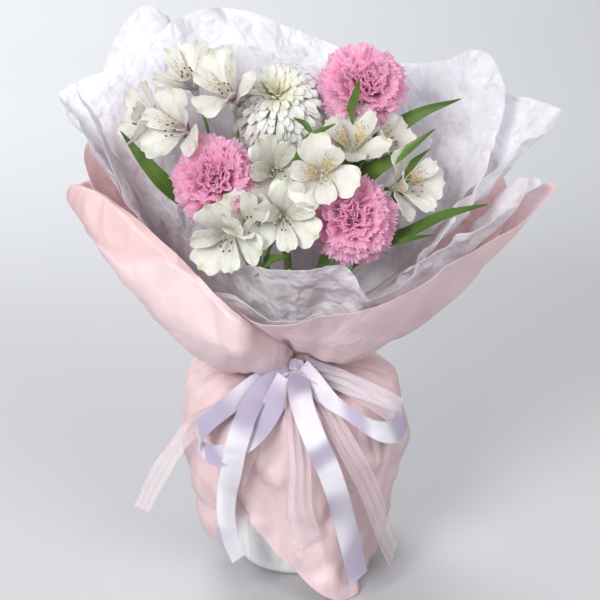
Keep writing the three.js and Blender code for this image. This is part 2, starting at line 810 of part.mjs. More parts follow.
const SATIN = {
  width: 18,
  thick: 0.8,
  strips: [
    {
      route: [[2, 187, 3], [6, 174, 7], [16, 154, 7], [28, 125, 6], [40, 76, 6], [52, 22, 6]],
      cells: 7,
    },
    {
      route: [
        [-6, 187, 3], [-29, 176, 9], [-41, 160, 14], [-46, 146, 16], [-49, 130, 14], [-53, 104, 8],
        [-54, 79, 6], [-50, 56, 6], [-43, 42, 6],
      ],
      cells: 7,
    },
    {
      route: [
        [-5, 188, 4], [-32, 180, 11], [-55, 168, 12], [-68, 158, 13], [-75, 147, 14], [-71, 137, 17],
        [-59, 136, 18], [-44, 145, 17], [-28, 160, 15], [-6, 184, 8],
      ],
      across: [0.2, -0.75, -0.6],
      cells: 10,
    },
    {
      route: [
        [5, 188, 4], [25, 177, 9], [45, 166, 10], [63, 154, 11], [79, 147, 11], [86, 151, 7],
        [75, 162, 4], [44, 177, 5], [8, 189, 4],
      ],
      across: [0.3, -0.5, -0.8],
      cells: 11,
    },
  ],
};
const ORGANZA = {
  width: 24,
  thick: 0.7,
  strips: [
    { route: [[-1, 183, 1], [0, 164, 1], [4, 131, 1], [4, 91, 1], [13, 56, 1]], cells: 6 },
    { route: [[3, 183, 1], [18, 176, 1], [39, 147, 1], [60, 97, 1], [73, 51, 1], [84, 18, 1]], cells: 6 },
    {
      route: [
        [-4, 183, 1], [-35, 174, 1], [-62, 160, 1], [-84, 139, 5], [-104, 113, 25], [-116, 90, 36],
        [-126, 68, 47],
      ],
      cells: 7,
    },
    { route: [[5, 187, 1], [22, 188, 1], [46, 182, 2], [70, 173, 3], [84, 162, 3]], cells: 4 },
  ],
};

// ---------------------------------------------------------------- materials
const colours = {
  carnation: ["#f3a9cb", 0.6],
  chrysanthemum: ["#f7f5ec", 0.65],
  alstroemeria: ["#f6f3ec", 0.55],
  green: ["#4f7d2c", 0.5],
  tissue: ["#eff0f3", 0.75],
  pink: ["#f1cfcb", 0.5],
  satin: ["#f1eef6", 0.25],
  organza: ["#f8dfe2", 0.4],
  vase: ["#f4f5f5", 0.2],
  water: ["#d9e6ea", 0.05],
  twine: ["#b59a6d", 0.9],
};
const materials = Object.fromEntries(
  Object.entries(colours).map(([name, [color, roughness]]) => [
    name,
    new THREE.MeshStandardMaterial({ name, color, roughness, metalness: 0 }),
  ]),
);

// ---------------------------------------------------------------- assembly
const bouquet = new THREE.Group();
bouquet.name = "bouquet";

function addNode(name, material, solid) {
  const mesh = largestBody(solid).getMesh();
  const geometry = new THREE.BufferGeometry();
  geometry.setAttribute("position", new THREE.BufferAttribute(mesh.vertProperties, 3));
  geometry.setIndex(new THREE.BufferAttribute(mesh.triVerts, 1));
  geometry.computeVertexNormals();
  const piece = new THREE.Mesh(geometry, materials[material]);
  piece.name = name;
  bouquet.add(piece);
}

const room = []; // what later pieces keep clear of

for (const spec of SHEETS) {
  addNode(spec.name, spec.colour, sheet(spec));
  room.push(sheet(spec, GAP));
}

// Stems come before blooms, so that petals are bent clear of them and never the other way round.
const stems = [];
function makeStem(place, via, radius) {
  stems.push(mainStem(place, via, radius + GAP));
  return mainStem(place, via, radius);
}

// The last points of a stem behind a head, by their distance below its middle.
const behind = (frame, ...distances) => distances.map((d) => V(0, 0, -d).applyMatrix4(frame));
const points = (list) => list.map((p) => V(...p));

const carnationStems = CARNATIONS.map((c) => {
  const frame = aimed(c.head);
  const neck = CALYX.length - CALYX.top;
  const stem = makeStem(c.tie, [...points(c.via), ...behind(frame, neck + 12, neck - 2)], 2.4);
  return { name: "carnation_stem_" + c.name, solid: stem.add(placed(calyx(), frame)) };
});

const mumFrame = aimed(CHRYSANTHEMUM.head);
const mumRoute = [...points(CHRYSANTHEMUM.via), ...behind(mumFrame, CORE_R + 16, CORE_R + 4)];
const receptacle = new THREE.CylinderGeometry(10, 3.4, 7, 8).rotateX(Math.PI / 2);
const cup = placed(solidOf(receptacle.translate(0, 0, -CORE_R - 4)), mumFrame);
const mumGreen = makeStem(CHRYSANTHEMUM.tie, mumRoute, 2.6).add(cup);

const sprays = SPRAYS.map((spray) => {
  const stem = makeStem(spray.tie, points(spray.via), 2.3);
  const whorl = V(...spray.via.at(-1));
  const stalks = (grow) =>
    spray.blooms.map((b) => {
      const [below, end] = behind(aimed(b), 9, 0.4);
      const rise = whorl.clone().lerp(below, 0.55).add(V(0, 0, 2));
      return rod([whorl, rise, below, end], 1.5 + grow, 4, 2);
    });
  return { ...spray, green: joined([stem, ...stalks(0)]), keepOut: joined(stalks(GAP)) };
});

// Leaves that lie in front of blooms come before them, the others after them. Each is joined to
// its own stem.
const greens = [...carnationStems.map((s) => s.solid), mumGreen, ...sprays.map((s) => s.green)];
const stalkRoom = sprays.map((s) => s.keepOut);
const frontLeaves = sprays.flatMap((s) => s.front.map((l) => leaf(l, GAP)));
const keepOut = [...room, ...stems, ...stalkRoom, ...frontLeaves];

// Blooms, from the stiffest to the softest: each keeps clear of all before it.
const blooms = [];
function addBloom(name, material, frame, solid, space) {
  addNode(name, material, clearOf(placed(solid, frame), [...keepOut, ...blooms, ...greens]));
  blooms.push(placed(space, frame));
}
CARNATIONS.forEach((c, k) => {
  addBloom("carnation_" + c.name, "carnation", aimed(c.head), carnation(11 + 7 * k), carnationRoom());
});
addBloom("chrysanthemum", "chrysanthemum", mumFrame, chrysanthemum(5), chrysanthemumRoom());
sprays.forEach((spray) =>
  spray.blooms.forEach((b, k) => {
    const name = `alstroemeria_${spray.name}_${k + 1}`;
    addBloom(name, "alstroemeria", aimed(b), alstroemeria(b.open), alstroemeria(b.open, GAP));
  }),
);

carnationStems.forEach((s) => addNode(s.name, "green", s.solid));
addNode("chrysanthemum_stem", "green", mumGreen);
const leafRoom = [];
sprays.forEach((spray) => {
  const others = [...stalkRoom, ...greens].filter((g) => g !== spray.green && g !== spray.keepOut);
  const ahead = spray.front.map((l) => clearOf(leaf(l), [...room, ...others, ...leafRoom]));
  const after = spray.leaves.map((l) => clearOf(leaf(l), [...room, ...blooms, ...others, ...leafRoom]));
  leafRoom.push(...[...spray.front, ...spray.leaves].map((l) => leaf(l, GAP)));
  addNode("alstroemeria_stem_" + spray.name, "green", joined([spray.green, ...ahead, ...after]));
});

addNode("vase", "vase", vase());
addNode("water", "water", water(stems));

// Twine round the stems, inside the paper: a sleeve with a ridge for each turn.
const TWINE = { r: 15, thick: 0.7, ridge: 0.6, pitch: 3 };
const turnHeights = [-2, -1, 0].map((turn) => WAIST_Z + turn * TWINE.pitch);
const ridges = turnHeights.flatMap((z) => [
  [TWINE.r + TWINE.thick, z - TWINE.pitch / 2],
  [TWINE.r + TWINE.thick + TWINE.ridge, z],
]);
const [twineLow, twineTop] = [turnHeights[0] - TWINE.pitch / 2, turnHeights[2] + TWINE.pitch / 2];
const twineInside = [[TWINE.r + TWINE.thick, twineTop], [TWINE.r, twineTop], [TWINE.r, twineLow]];
addNode("stem_twine", "twine", solidOf(lathe([[TWINE.r, twineLow], ...ridges, ...twineInside], 12)));

// The satin bow has the band and the knot; the organza bow is tied in below its knot.
const bandR = INNER_SHEET_R + LAYER_PITCH * (SHEETS.length - 2) + 0.3;
const [bandLow, bandTop] = [WAIST_Z - 1, WAIST_Z + 6];
const bandOutside = [[bandR + 1, bandLow], [bandR + 1, bandTop]];
const band = solidOf(lathe([[bandR, bandLow], ...bandOutside, [bandR, bandTop], [bandR, bandLow]], 16));
function knot(rise, r, grow = 0) {
  const shape = new THREE.SphereGeometry(r + grow, 7, 5).scale(1.1, 0.6, 0.8);
  return solidOf(shape.translate(0, -bandR - 3, WAIST_Z + rise));
}
const bow = ({ strips, width, thick }, grow = 0) => strips.map((s) => ribbon(s, width, thick, grow));
addNode("satin_ribbon", "satin", clearOf(joined([knot(4, 7), band, ...bow(SATIN)]), room));
const organzaRoom = [...room, knot(4, 7, GAP), ...bow(SATIN, 2 * GAP)];
addNode("organza_ribbon", "organza", clearOf(joined([knot(-4, 6), ...bow(ORGANZA)]), organzaRoom));

export default bouquet;
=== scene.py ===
"""A wrapped bouquet standing in a fluted vase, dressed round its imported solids.

Carnations, alstroemeria and a chrysanthemum in tissue and pink paper, tied with satin and
organza. Tables are in millimetres and degrees, in the frame of the solids: the origin is the
middle of the vase's foot, +Z is up and the front faces -Y.
"""

import itertools
import math

import bpy
import numpy as np
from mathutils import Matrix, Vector


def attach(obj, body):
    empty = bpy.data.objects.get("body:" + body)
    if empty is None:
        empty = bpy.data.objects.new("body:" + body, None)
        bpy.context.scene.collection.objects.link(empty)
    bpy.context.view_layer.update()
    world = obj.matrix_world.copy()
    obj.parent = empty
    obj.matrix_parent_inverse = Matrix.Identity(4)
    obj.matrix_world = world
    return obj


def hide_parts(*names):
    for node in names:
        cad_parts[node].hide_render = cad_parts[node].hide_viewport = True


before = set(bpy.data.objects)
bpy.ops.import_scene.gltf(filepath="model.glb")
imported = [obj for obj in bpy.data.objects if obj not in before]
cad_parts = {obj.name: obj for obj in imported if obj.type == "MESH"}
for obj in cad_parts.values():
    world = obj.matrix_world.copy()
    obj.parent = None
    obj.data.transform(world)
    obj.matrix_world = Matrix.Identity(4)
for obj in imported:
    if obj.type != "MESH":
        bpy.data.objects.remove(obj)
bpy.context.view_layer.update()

bl_info = {
    "name": "Wrapped Bouquet",
    "version": (1, 0, 0),
    "blender": (4, 5, 0),
    "location": "View3D > Sidebar > Bouquet",
    "description": "Carnations, alstroemeria and a chrysanthemum, wrapped and standing in a vase",
    "category": "Object",
}

MM = 0.001

# ------------------------------------------------------------------ the bouquet's dimensions
WAIST = 184  # height of the tie
INNER_SHEET_R = 17.2  # radius of the innermost sheet at the tie
LAYER_PITCH = 1.3  # one sheet to the next at the tie
COLLAR_PINCH = (176, 196, -0.5)  # a collar sheet's end below the tie, where it spreads, its step
SKIRT_PINCH = (184, 161, 1.6)  # the same for a skirt sheet, above the tie and down
VASE = {"height": 150, "foot": 46, "belly": 53.5, "belly_z": 44, "floor": 8, "wall": 3.5}
WATER_TOP = 98
TIE_R = INNER_SHEET_R + LAYER_PITCH * 11 + 0.8  # outside of the 11 layers, where ribbons turn
STEM_RING = 10.5  # radius of the ring of stems at the tie
STEM_SPREAD = 2.6  # how much wider the ring is on the vase's floor
CARNATION_STEM_R, MUM_STEM_R, SPRAY_STEM_R = 2.3, 2.5, 2.2
STEM_HOLE_R = 2.9  # clears every stem's joints in the water
TWINE = {"r": 0.62, "ring": 15.6, "rise": 1.1, "turns": (-7.4, -4.6, -1.8, 0.8)}
PETAL_ROOT = -9  # where a carnation's petals meet, below the middle of its head
CALYX = {"top": -14.6, "length": 22, "r": 6.2}
MUM_CORE_R = 25
MUM_R = 40
TEPAL_LENGTH = 41
GOLDEN_ANGLE = 137.508  # turn from one floret to the next, degrees

# Cells across and along each kind of blank that pieces are bent from.
CELLS = {
    "petal": (46, 10), "floret": (4, 9), "tepal": (14, 20), "leaf": (8, 28), "sheet": (150, 84),
    "satin": (8, 90), "organza": (40, 80), "knot": (10, 40),
}
# Thickness of the ribbons, of their knots and band, and of a leaf.
THICK = {
    "satin": 0.35, "satin knot": 0.6, "satin band": 0.4, "organza": 0.25, "organza knot": 0.5,
    "leaf": 0.5,
}

# Each sheet: level at the tie, rim wave [height, waves a turn, phase] and its stations
# (angle, (r, z), (r, z), ...) from the tie outwards, the angle from the front, positive right.
TISSUE = {
    "tissue_inner_back": (0, (2, 11, 0.5), [
        (118, (64, 258), (126, 345)), (140, (60, 264), (130, 368)), (162, (60, 268), (128, 388)),
        (185, (58, 272), (124, 398)), (208, (58, 274), (124, 408)), (222, (60, 272), (126, 404)),
    ]),
    "tissue_back": (1, (2, 9, 1), [
        (166, (72, 262), (162, 392)), (178, (72, 264), (158, 408)), (195, (72, 268), (146, 428)),
        (208, (72, 268), (150, 432)), (222, (74, 268), (149, 430)), (235, (76, 262), (150, 398)),
    ]),
    "tissue_back_right": (1, (1.5, 12, 0), [
        (104, (86, 248), (158, 324)), (116, (84, 256), (188, 386)), (126, (80, 262), (190, 402)),
        (140, (74, 268), (180, 387)), (156, (70, 266), (160, 380)),
    ]),
    "tissue_right": (2, (2, 10, 2), [
        (62, (72, 236), (112, 292)), (86, (82, 244), (140, 326)), (97, (90, 248), (180, 350)),
        (105, (98, 250), (219, 368)), (116, (96, 252), (210, 369)), (134, (90, 252), (192, 374)),
        (150, (84, 254), (178, 376)), (167, (82, 252), (172, 372)),
    ]),
    "tissue_back_left": (2, (1.5, 14, 0), [
        (-156, (84, 260), (152, 386)), (-145, (84, 262), (160, 415)),
        (-134, (86, 264), (170, 440)), (-125, (88, 260), (177, 414)),
        (-115, (90, 254), (175, 372)),
    ]),
    "tissue_front_right": (3, (1.2, 17, 0), [
        (-74, (44, 230), (60, 262)), (-54, (40, 230), (58, 269)), (-36, (38, 230), (60, 279)),
        (-18, (38, 228), (70, 286)), (4, (40, 228), (83, 290)),
        (20, (44, 228), (90, 295)), (29, (50, 224), (92, 283)), (36, (56, 220), (98, 264)),
        (52, (68, 220), (112, 282)), (68, (80, 226), (130, 301)), (80, (90, 232), (158, 310)),
        (92, (98, 238), (190, 328)), (99, (98, 240), (180, 324)),
    ]),
    "tissue_front_left": (4, (1.2, 19, 1), [
        (-112, (100, 254), (186, 382)), (-104, (96, 248), (161, 357)),
        (-96, (90, 242), (143, 333)), (-88, (84, 236), (127, 310)), (-78, (74, 230), (108, 286)),
        (-64, (62, 226), (97, 267)), (-48, (50, 228), (86, 261)), (-32, (44, 228), (70, 251)),
        (-14, (44, 225), (68, 243)), (2, (46, 222), (76, 247)), (14, (50, 220), (88, 257)),
    ]),
    "tissue_left_corner": (5, (1.5, 12, 2), [
        (-136, (92, 254), (166, 380)), (-126, (94, 254), (172, 392)),
        (-118, (98, 252), (186, 388)), (-112, (104, 250), (207, 376)),
        (-107, (103, 248), (186, 366)), (-101, (100, 246), (166, 356)),
    ]),
}
NO_WAVE = (0, 0, 0)
COLLAR = {
    "wrap_back": (6, NO_WAVE, [
        (84, (72, 208), (118, 246), (156, 292)), (104, (72, 210), (122, 252), (176, 312)),
        (124, (70, 216), (120, 268), (180, 338)), (148, (68, 218), (114, 272), (160, 338)),
        (176, (66, 220), (110, 278), (156, 352)), (206, (66, 220), (108, 284), (156, 374)),
        (228, (68, 220), (116, 280), (168, 368)), (243, (72, 216), (124, 268), (184, 342)),
        (254, (74, 212), (126, 262), (178, 330)), (264, (74, 210), (124, 255), (160, 314)),
    ]),
    "wrap_right": (7, NO_WAVE, [
        (-38, (40, 212), (58, 228), (72, 244)), (-28, (38, 210), (62, 230), (82, 250)),
        (-10, (37, 208), (68, 230), (101, 255)), (10, (42, 203), (82, 228), (108, 261)),
        (30, (58, 199), (90, 228), (112, 268)), (50, (64, 198), (98, 232), (126, 279)),
        (68, (68, 198), (108, 236), (146, 294)), (82, (70, 197), (116, 232), (176, 306)),
        (95, (72, 197), (124, 234), (207, 321)), (104, (72, 197), (120, 232), (184, 296)),
        (114, (72, 197), (114, 228), (150, 266)),
    ]),
    "wrap_left": (8, NO_WAVE, [
        (-132, (60, 199), (104, 234), (148, 280), (146, 284), (142, 282)),
        (-116, (62, 196), (112, 234), (172, 298), (169, 305), (162, 300)),
        (-98, (62, 192), (112, 230), (183, 308), (175, 320), (164, 313)),
        (-86, (62, 189), (110, 226), (164, 302), (154, 325), (145, 321)),
        (-70, (60, 187), (98, 213), (128, 268), (124, 304), (116, 303)),
        (-50, (58, 186), (84, 204), (102, 242), (102, 275), (95, 277)),
        (-30, (54, 187), (74, 201), (88, 224), (89, 246), (84, 247)),
        (-14, (40, 190), (44, 197), (46, 204), (46, 210), (44, 211)),
        (-4, (31, 193.5), (32, 195), (33, 197), (33.5, 199), (33, 200)),
    ]),
}
SKIRT = {
    "skirt_right": (9, (1.2, 9, 0), [
        (-62, (54, 171), (78, 158), (84, 142), (83, 133), (81, 126)),
        (-40, (54, 171), (78, 157), (84, 134), (81, 114), (78, 101)),
        (-20, (54, 171), (77, 157), (83, 121), (78, 86), (78, 60)),
        (4, (54, 171), (78, 157), (84, 120), (80, 66), (83, 22)),
        (27, (54, 171), (79, 157), (85, 120), (82, 60), (92, 1)),
        (48, (54, 171), (80, 157), (86, 120), (79, 56), (76, 6)),
        (90, (56, 172), (84, 159), (87, 122), (77, 58), (68, 10)),
        (135, (56, 172), (82, 158), (86, 120), (77, 58), (66, 9)),
        (172, (56, 172), (80, 158), (85, 120), (77, 58), (65, 8)),
    ]),
    "skirt_left": (10, (1.2, 9, 1), [
        (-198, (58, 175), (84, 162), (90, 122), (82, 60), (70, 14)),
        (-160, (58, 175), (86, 162), (90, 122), (82, 60), (70, 14)),
        (-120, (60, 175), (88, 163), (92, 124), (81, 62), (70, 18)),
        (-92, (60, 175), (88, 163), (92, 124), (80, 62), (67, 24)),
        (-66, (60, 175), (86, 162), (91, 124), (82, 66), (72, 26)),
        (-46, (58, 175), (84, 161), (90, 124), (84, 88), (82, 66)),
        (-28, (52, 175.5), (80, 163), (88, 140), (90, 116), (90, 98)),
        (-20, (52, 175.5), (79, 164), (86, 152), (88, 144), (88, 136)),
    ]),
}

# How each sheet of pink paper is painted, from a deeper salmon that stands for backlight (0) to a
# paler lit pink (1): painted light, not a change in the paper.
PAINTED_SHEET_LIGHT = {"wrap_back": 0.15, "wrap_right": 0.85, "skirt_right": 0.9, "skirt_left": 0.8}

# Each carnation and the chrysanthemum: place in the ring of stems (degrees), points its stem
# passes, and its head.
CARNATIONS = {
    "left": (195, [(-28, 8, 240), (-54, 20, 290)],
             {"at": (-61, -12, 336), "azimuth": -10, "elevation": 32, "spin": 10}),
    "top": (60, [(22, 32, 250), (42, 60, 325)],
            {"at": (53, 36, 396), "azimuth": 8, "elevation": 40, "spin": 40}),
    "right": (-75, [(16, -4, 226), (33, 7, 268)],
              {"at": (43, -30, 311), "azimuth": 4, "elevation": 24, "spin": 75}),
}
MUM = (105, [(-6, 36, 256), (-14, 62, 312)],
       {"at": (-12, 44, 372), "azimuth": -2, "elevation": 46, "spin": 0})

# Each spray: place in the ring, points of its stem to the whorl, its blooms (at, azimuth,
# elevation, spin, open), its leaves (points, width, twist) and the colouring of its blooms.
SPRAYS = {
    "top_left": (150, [(-28, 24, 244), (-54, 36, 300)], [
        ((-80, 24, 361), -37, 26, 12, 1), ((-45, 23, 386), -30, 45, 40, 0.9),
        ((-97, 33, 362), -76, 26, 0, 0.85), ((-78, 63, 380), -30, 62, 20, 0.9),
    ], [
        ([(-50, 34, 288), (-75, 20, 300), (-97, 12, 318), (-118, 10, 344), (-134, 10, 367)], 16, 0),
    ], "lilac"),
    "front": (-120, [(-14, -10, 226), (-26, -18, 262)], [
        ((-46, -25, 298), -15, 6, 20, 1), ((-31, -24, 294), -20, 50, 60, 0.62),
        ((-8, -23, 309), 0, 16, 0, 1),
    ], [([(-18, -14, 238), (-25, -34, 264), (-21, -50, 283), (-4, -58, 291)], 15, 0)], "green"),
    "middle": (None, [(-4, 4, 240), (-10, 6, 290)], [((-17, 13, 332), 8, 24, 30, 0.9)], [
        ([(13, -14, 373), (8, -13, 380), (-1, -12, 385)], 5, 0),
        ([(-7, 5, 272), (4, -4, 318), (6, -11, 350), (12, -16, 370), (31, -15, 381)], 13, 0),
    ], "green"),
    "right": (15, [(22, 14, 240), (33, 17, 298)], [
        ((44, 15, 345), 0, 50, 0, 1), ((22, -15, 341), -5, 20, 20, 1),
        ((57, 26, 338), 60, 48, 30, 0.8),
    ], [
        ([(32, 16, 288), (50, 36, 325), (72, 42, 352), (98, 36, 373), (129, 26, 388)], 15, 40),
        ([(31, 15, 284), (46, 3, 318), (62, -8, 341), (83, -9, 356), (107, -6, 374)], 14, 0),
        ([(32, 17, 292), (38, 24, 345), (41, 17, 372), (46, 6, 394), (49, 0, 412)], 12, 0),
    ], "cream"),
    "far_right": (-30, [(34, 2, 236), (62, 10, 284)], [((75, 7, 321), 45, 22, 10, 1)], [
        ([(56, 9, 274), (90, -10, 292), (116, -26, 312), (147, -30, 322)], 11, 0),
        ([(44, 5, 254), (66, -8, 276), (84, -34, 294), (105, -45, 303)], 8, 0),
        ([(50, 8, 264), (78, 4, 312), (90, 0, 342), (104, -2, 357)], 9, 0),
    ], "cream"),
}

# Tepals of an alstroemeria: turn, width, share of the length, angle off the axis at the throat
# and at the tip, and whether it carries the dashes.
TEPALS = [
    (90, 33, 0.95, 28, 66, 0), (210, 32, 0.92, 28, 70, 0), (330, 32, 0.92, 28, 70, 0),
    (30, 19, 0.97, 14, 52, 1), (150, 19, 0.97, 14, 52, 1), (270, 20, 0.9, 14, 60, 0),
]
# Rings of a carnation's petals: count, angle off the axis, length, width.
PETAL_RINGS = [
    (8, 98, 37, 34), (8, 82, 37, 33), (8, 66, 36, 31), (9, 52, 35, 27), (9, 39, 33.5, 24),
    (8, 27, 32, 21), (7, 15, 30.5, 18), (5, 5, 28.5, 15),
]
# How far from the vase's axis a ribbon lies at each height, just clear of the skirt.
DRAPE = [
    (5, 98), (60, 93), (120, 96), (140, 94), (158, 89), (168, 78), (176, 64), (182, 50),
    (188, 38), (196, 36),
]
# Ribbon strips: points (x, z, lift off the drape). A satin tail adds the slant of its end, a loop
# the direction across it, and both the part of the painted shade bands, standing for the satin's
# sheen, that they show.
SATIN_TAILS = [
    ([(2, 187, 3), (6, 174, 7), (16, 154, 7), (28, 125, 6), (40, 76, 6), (52, 22, 6)], 0.015, 0),
    ([(-6, 187, 3), (-29, 176, 9), (-41, 160, 14), (-46, 146, 16), (-49, 130, 14), (-53, 104, 8),
      (-54, 79, 6), (-50, 56, 6), (-43, 42, 6)], 0.03, 0.2),
]
SATIN_LOOPS = [
    ([(-5, 188, 4), (-32, 180, 11), (-55, 168, 12), (-68, 158, 13), (-75, 147, 14),
      (-71, 137, 13), (-59, 136, 11), (-44, 145, 8), (-28, 160, 6), (-6, 184, 6)],
     (0.2, -0.75, -0.6), 0.7),
    ([(5, 188, 4), (25, 177, 9), (45, 166, 10), (63, 154, 11), (79, 147, 11), (86, 151, 7),
      (75, 162, 3), (44, 177, 2), (8, 188, 2)], (0.3, -0.5, -0.8), 0.9),
]
ORGANZA_STRIPS = [
    [(-1, 183, 1), (0, 164, 1), (4, 131, 1), (4, 91, 1), (13, 56, 1)],
    [(3, 183, 1), (18, 176, 1), (39, 147, 1), (60, 97, 1), (73, 51, 1), (84, 18, 1)],
    [(-4, 183, 1), (-35, 174, 1), (-62, 160, 1), (-84, 139, 5), (-104, 113, 25),
     (-116, 90, 36), (-126, 68, 47)],
    [(5, 188, 6), (22, 185, 8), (45, 178, 8), (68, 167, 8), (86, 152, 9)],
]

PLY_STEP = 1.6  # how far a wrap's second ply stands off its first
PLEAT_R, PLEAT_SPREAD = 52, 24  # distance from the axis where pleats are deepest, their reach
FLAT_R, CREASE_RISE = 34, 50  # distance where creases begin, and how far they take to grow
SHOULDER_Z = 168  # height where the skirt's folds begin
# Creases laid over each other in each kind of sheet: share, size, seed and shift of each pattern.
TISSUE_CREASES = ((1, 44, 3, 0), (-0.85, 29, 4, 40), (0.2, 16, 5, 0))
PAPER_CREASES = ((1, 84, 9, 0), (-0.8, 50, 10, 0))
SKIRT_CREASES = ((1, 42, 12, 0), (-1, 28, 13, 9))

# The photo's view, in metres and millimetres of lens, and the stage in metres.
CAMERA = {"distance": 1.3, "target": (0.0042866, 0, 0.228981), "lens": 97.5, "sensor": 36}
BACKDROP = {"width": 6, "forward": 0.4, "height": 3, "sweep": 1.2}
MIDDLE, BEHIND = (0, 0, 0.25), (0, 2, 0)
# Lamps: name, setting that gives their power, share of it, place, size and aim.
LAMPS = [
    ("key", "key", 1, (-0.8, -1.3, 1.2), 0.7, MIDDLE),
    ("fill", "fill", 1, (1.0, -1.1, 1.4), 0.9, MIDDLE),
    ("back", "fill", 0.25, (-0.5, 1.2, 1.3), 0.9, MIDDLE),
    ("backdrop", "wash", 1, (-0.8, 1.5, 1.4), 1.4, BEHIND),
]
SKY = ((0.93, 0.96, 1, 1), 1.35)  # colour and strength of the light all round


# ------------------------------------------------------------------ settings shown in the panel
def colour(name, text, value):
    """A colour setting with alpha."""
    return bpy.props.FloatVectorProperty(
        name=name, description=text, subtype="COLOR", size=4, min=0, max=1, default=value)


def length(name, text, millimetres):
    """A length setting, in metres."""
    return bpy.props.FloatProperty(
        name=name, description=text, unit="LENGTH", min=0, max=0.5, default=millimetres * MM)


def whole_number(name, text, least, most, default):
    """A whole number setting."""
    return bpy.props.IntProperty(
        name=name, description=text, min=least, max=most, default=default)


def power(name, text, watts):
    """The power of a lamp, in watts."""
    return bpy.props.FloatProperty(name=name, description=text, min=0, default=watts)


class FlowerSettings(bpy.types.PropertyGroup):
    """Colours and sizes of the flowers and their greens."""

    carnation_rim: colour("Carnation rim", "Colour at a petal's rim", (1.0, 0.65, 0.81, 1))
    carnation_heart: colour("Carnation heart", "Colour of its depths", (0.99, 0.45, 0.61, 1))
    mum_petal: colour("Chrysanthemum", "Colour of its florets", (0.94, 0.93, 0.90, 1))
    mum_heart: colour("Chrysanthemum heart", "Colour of its middle florets", (0.93, 0.88, 0.66, 1))
    tepal: colour("Alstroemeria", "Ground colour of its tepals", (0.92, 0.90, 0.86, 1))
    leaf: colour("Leaf", "Colour of the leaves", (0.10, 0.20, 0.03, 1))
    stem: colour("Stem", "Colour of the stems", (0.14, 0.27, 0.05, 1))
    petal_thickness: length("Petal thickness", "Thickness of petals and tepals", 0.45)
    teeth: whole_number("Carnation teeth", "Teeth along a petal's rim", 0, 24, 9)
    florets: whole_number("Florets", "Florets of the chrysanthemum", 40, 400, 340)


class PaperSettings(bpy.types.PropertyGroup):
    """Colours and sizes of the wrapping."""

    pink: colour("Pink paper", "Colour of the frosted paper", (0.93, 0.79, 0.81, 1))
    tissue: colour("Tissue", "Colour of the tissue", (0.95, 0.94, 0.97, 1))
    thickness: length("Paper thickness", "Thickness of the sheets", 0.3)
    crumple: length("Crumple", "Height of the creases in the tissue", 9)
    crease: length("Crease", "Height of the folds in the pink paper", 5)


class RibbonSettings(bpy.types.PropertyGroup):
    """Colours and sizes of the ribbons."""

    satin: colour("Satin", "Colour of the satin ribbon", (0.92, 0.90, 0.96, 1))
    organza: colour("Organza", "Colour of the organza ribbon", (0.96, 0.82, 0.86, 1))
    satin_width: length("Satin width", "Width of the satin ribbon", 18)
    organza_width: length("Organza width", "Width of the organza ribbon", 24)


class VaseSettings(bpy.types.PropertyGroup):
    """The vase and what stands in it."""

    glaze: colour("Glaze", "Colour of the vase", (0.80, 0.81, 0.82, 1))
    flutes: whole_number("Flutes", "Grooves round the vase", 0, 60, 30)
    flute_depth: length("Flute depth", "Depth of a groove", 1.4)


class StudioSettings(bpy.types.PropertyGroup):
    """The floor, the light and the camera."""

    floor: colour("Floor", "Colour of the floor", (0.55, 0.56, 0.58, 1))
    key: power("Key light", "Power of the main soft light, watts", 33)
    fill: power("Fill light", "Power of the fill light, watts", 17)
    wash: power("Backdrop light", "Power of the light on the backdrop, watts", 28)
    elevation: bpy.props.FloatProperty(
        name="Camera elevation", description="How far the camera looks down, degrees", default=24)


# ------------------------------------------------------------------ curves and noise
NOISE_ROWS = 4096
NOISE_START, CREASE_START = 500, 200  # the cells of each pattern that the bouquet's middle takes


def smooth_through(stations, values, x):
    """Piecewise cubic through the stations that never overshoots them; values may be a column
    for each station or a row of columns."""
    stations, values = np.asarray(stations, float), np.asarray(values, float)
    if values.ndim == 1:
        values = np.repeat(values[:, None], len(x), axis=1)
    slope = np.diff(values, axis=0) / np.diff(stations)[:, None]
    before, after = slope[:-1], slope[1:]
    total = np.where(before + after == 0, 1, before + after)
    inner = np.where(before * after > 0, 2 * before * after / total, 0)
    tangent = np.concatenate([slope[:1], inner, slope[-1:]])
    k = np.clip(np.searchsorted(stations, x, side="right") - 1, 0, len(stations) - 2)
    step = stations[k + 1] - stations[k]
    t = np.clip((x - stations[k]) / step, 0, 1)
    here = np.arange(len(x))
    return (
        (2 * t**3 - 3 * t**2 + 1) * values[k, here]
        + (t**3 - 2 * t**2 + t) * step * tangent[k, here]
        + (3 * t**2 - 2 * t**3) * values[k + 1, here]
        + (t**3 - t**2) * step * tangent[k + 1, here]
    )


def through_points(points, t):
    """Places along the centripetal curve through the points, t from 0 to 1."""
    points = np.asarray(points, float)
    p = np.array([2 * points[0] - points[1], *points, 2 * points[-1] - points[-2]])
    at = np.clip(np.asarray(t, float), 0, 1) * (len(points) - 1)
    k = np.minimum(at.astype(int), len(points) - 2)
    w = (at - k)[:, None]
    a, b, c, d = (p[k + i] for i in range(4))
    gap = [np.sqrt(np.linalg.norm(q - r, axis=1))[:, None] for q, r in ((b, a), (c, b), (d, c))]
    first = ((b - a) / gap[0] - (c - a) / (gap[0] + gap[1]) + (c - b) / gap[1]) * gap[1]
    last = ((c - b) / gap[1] - (d - b) / (gap[1] + gap[2]) + (d - c) / gap[2]) * gap[1]
    return (b + first * w + (3 * (c - b) - 2 * first - last) * w**2
            + (2 * (b - c) + first + last) * w**3)


def unit(vectors):
    """The vectors at length 1."""
    return vectors / np.maximum(np.linalg.norm(vectors, axis=-1, keepdims=True), 1e-9)


def path(points, t):
    """Places along the curve through the points, and its direction at each."""
    ahead, back = (through_points(points, np.clip(t + step, 0, 1)) for step in (1e-3, -1e-3))
    return through_points(points, t), unit(ahead - back)


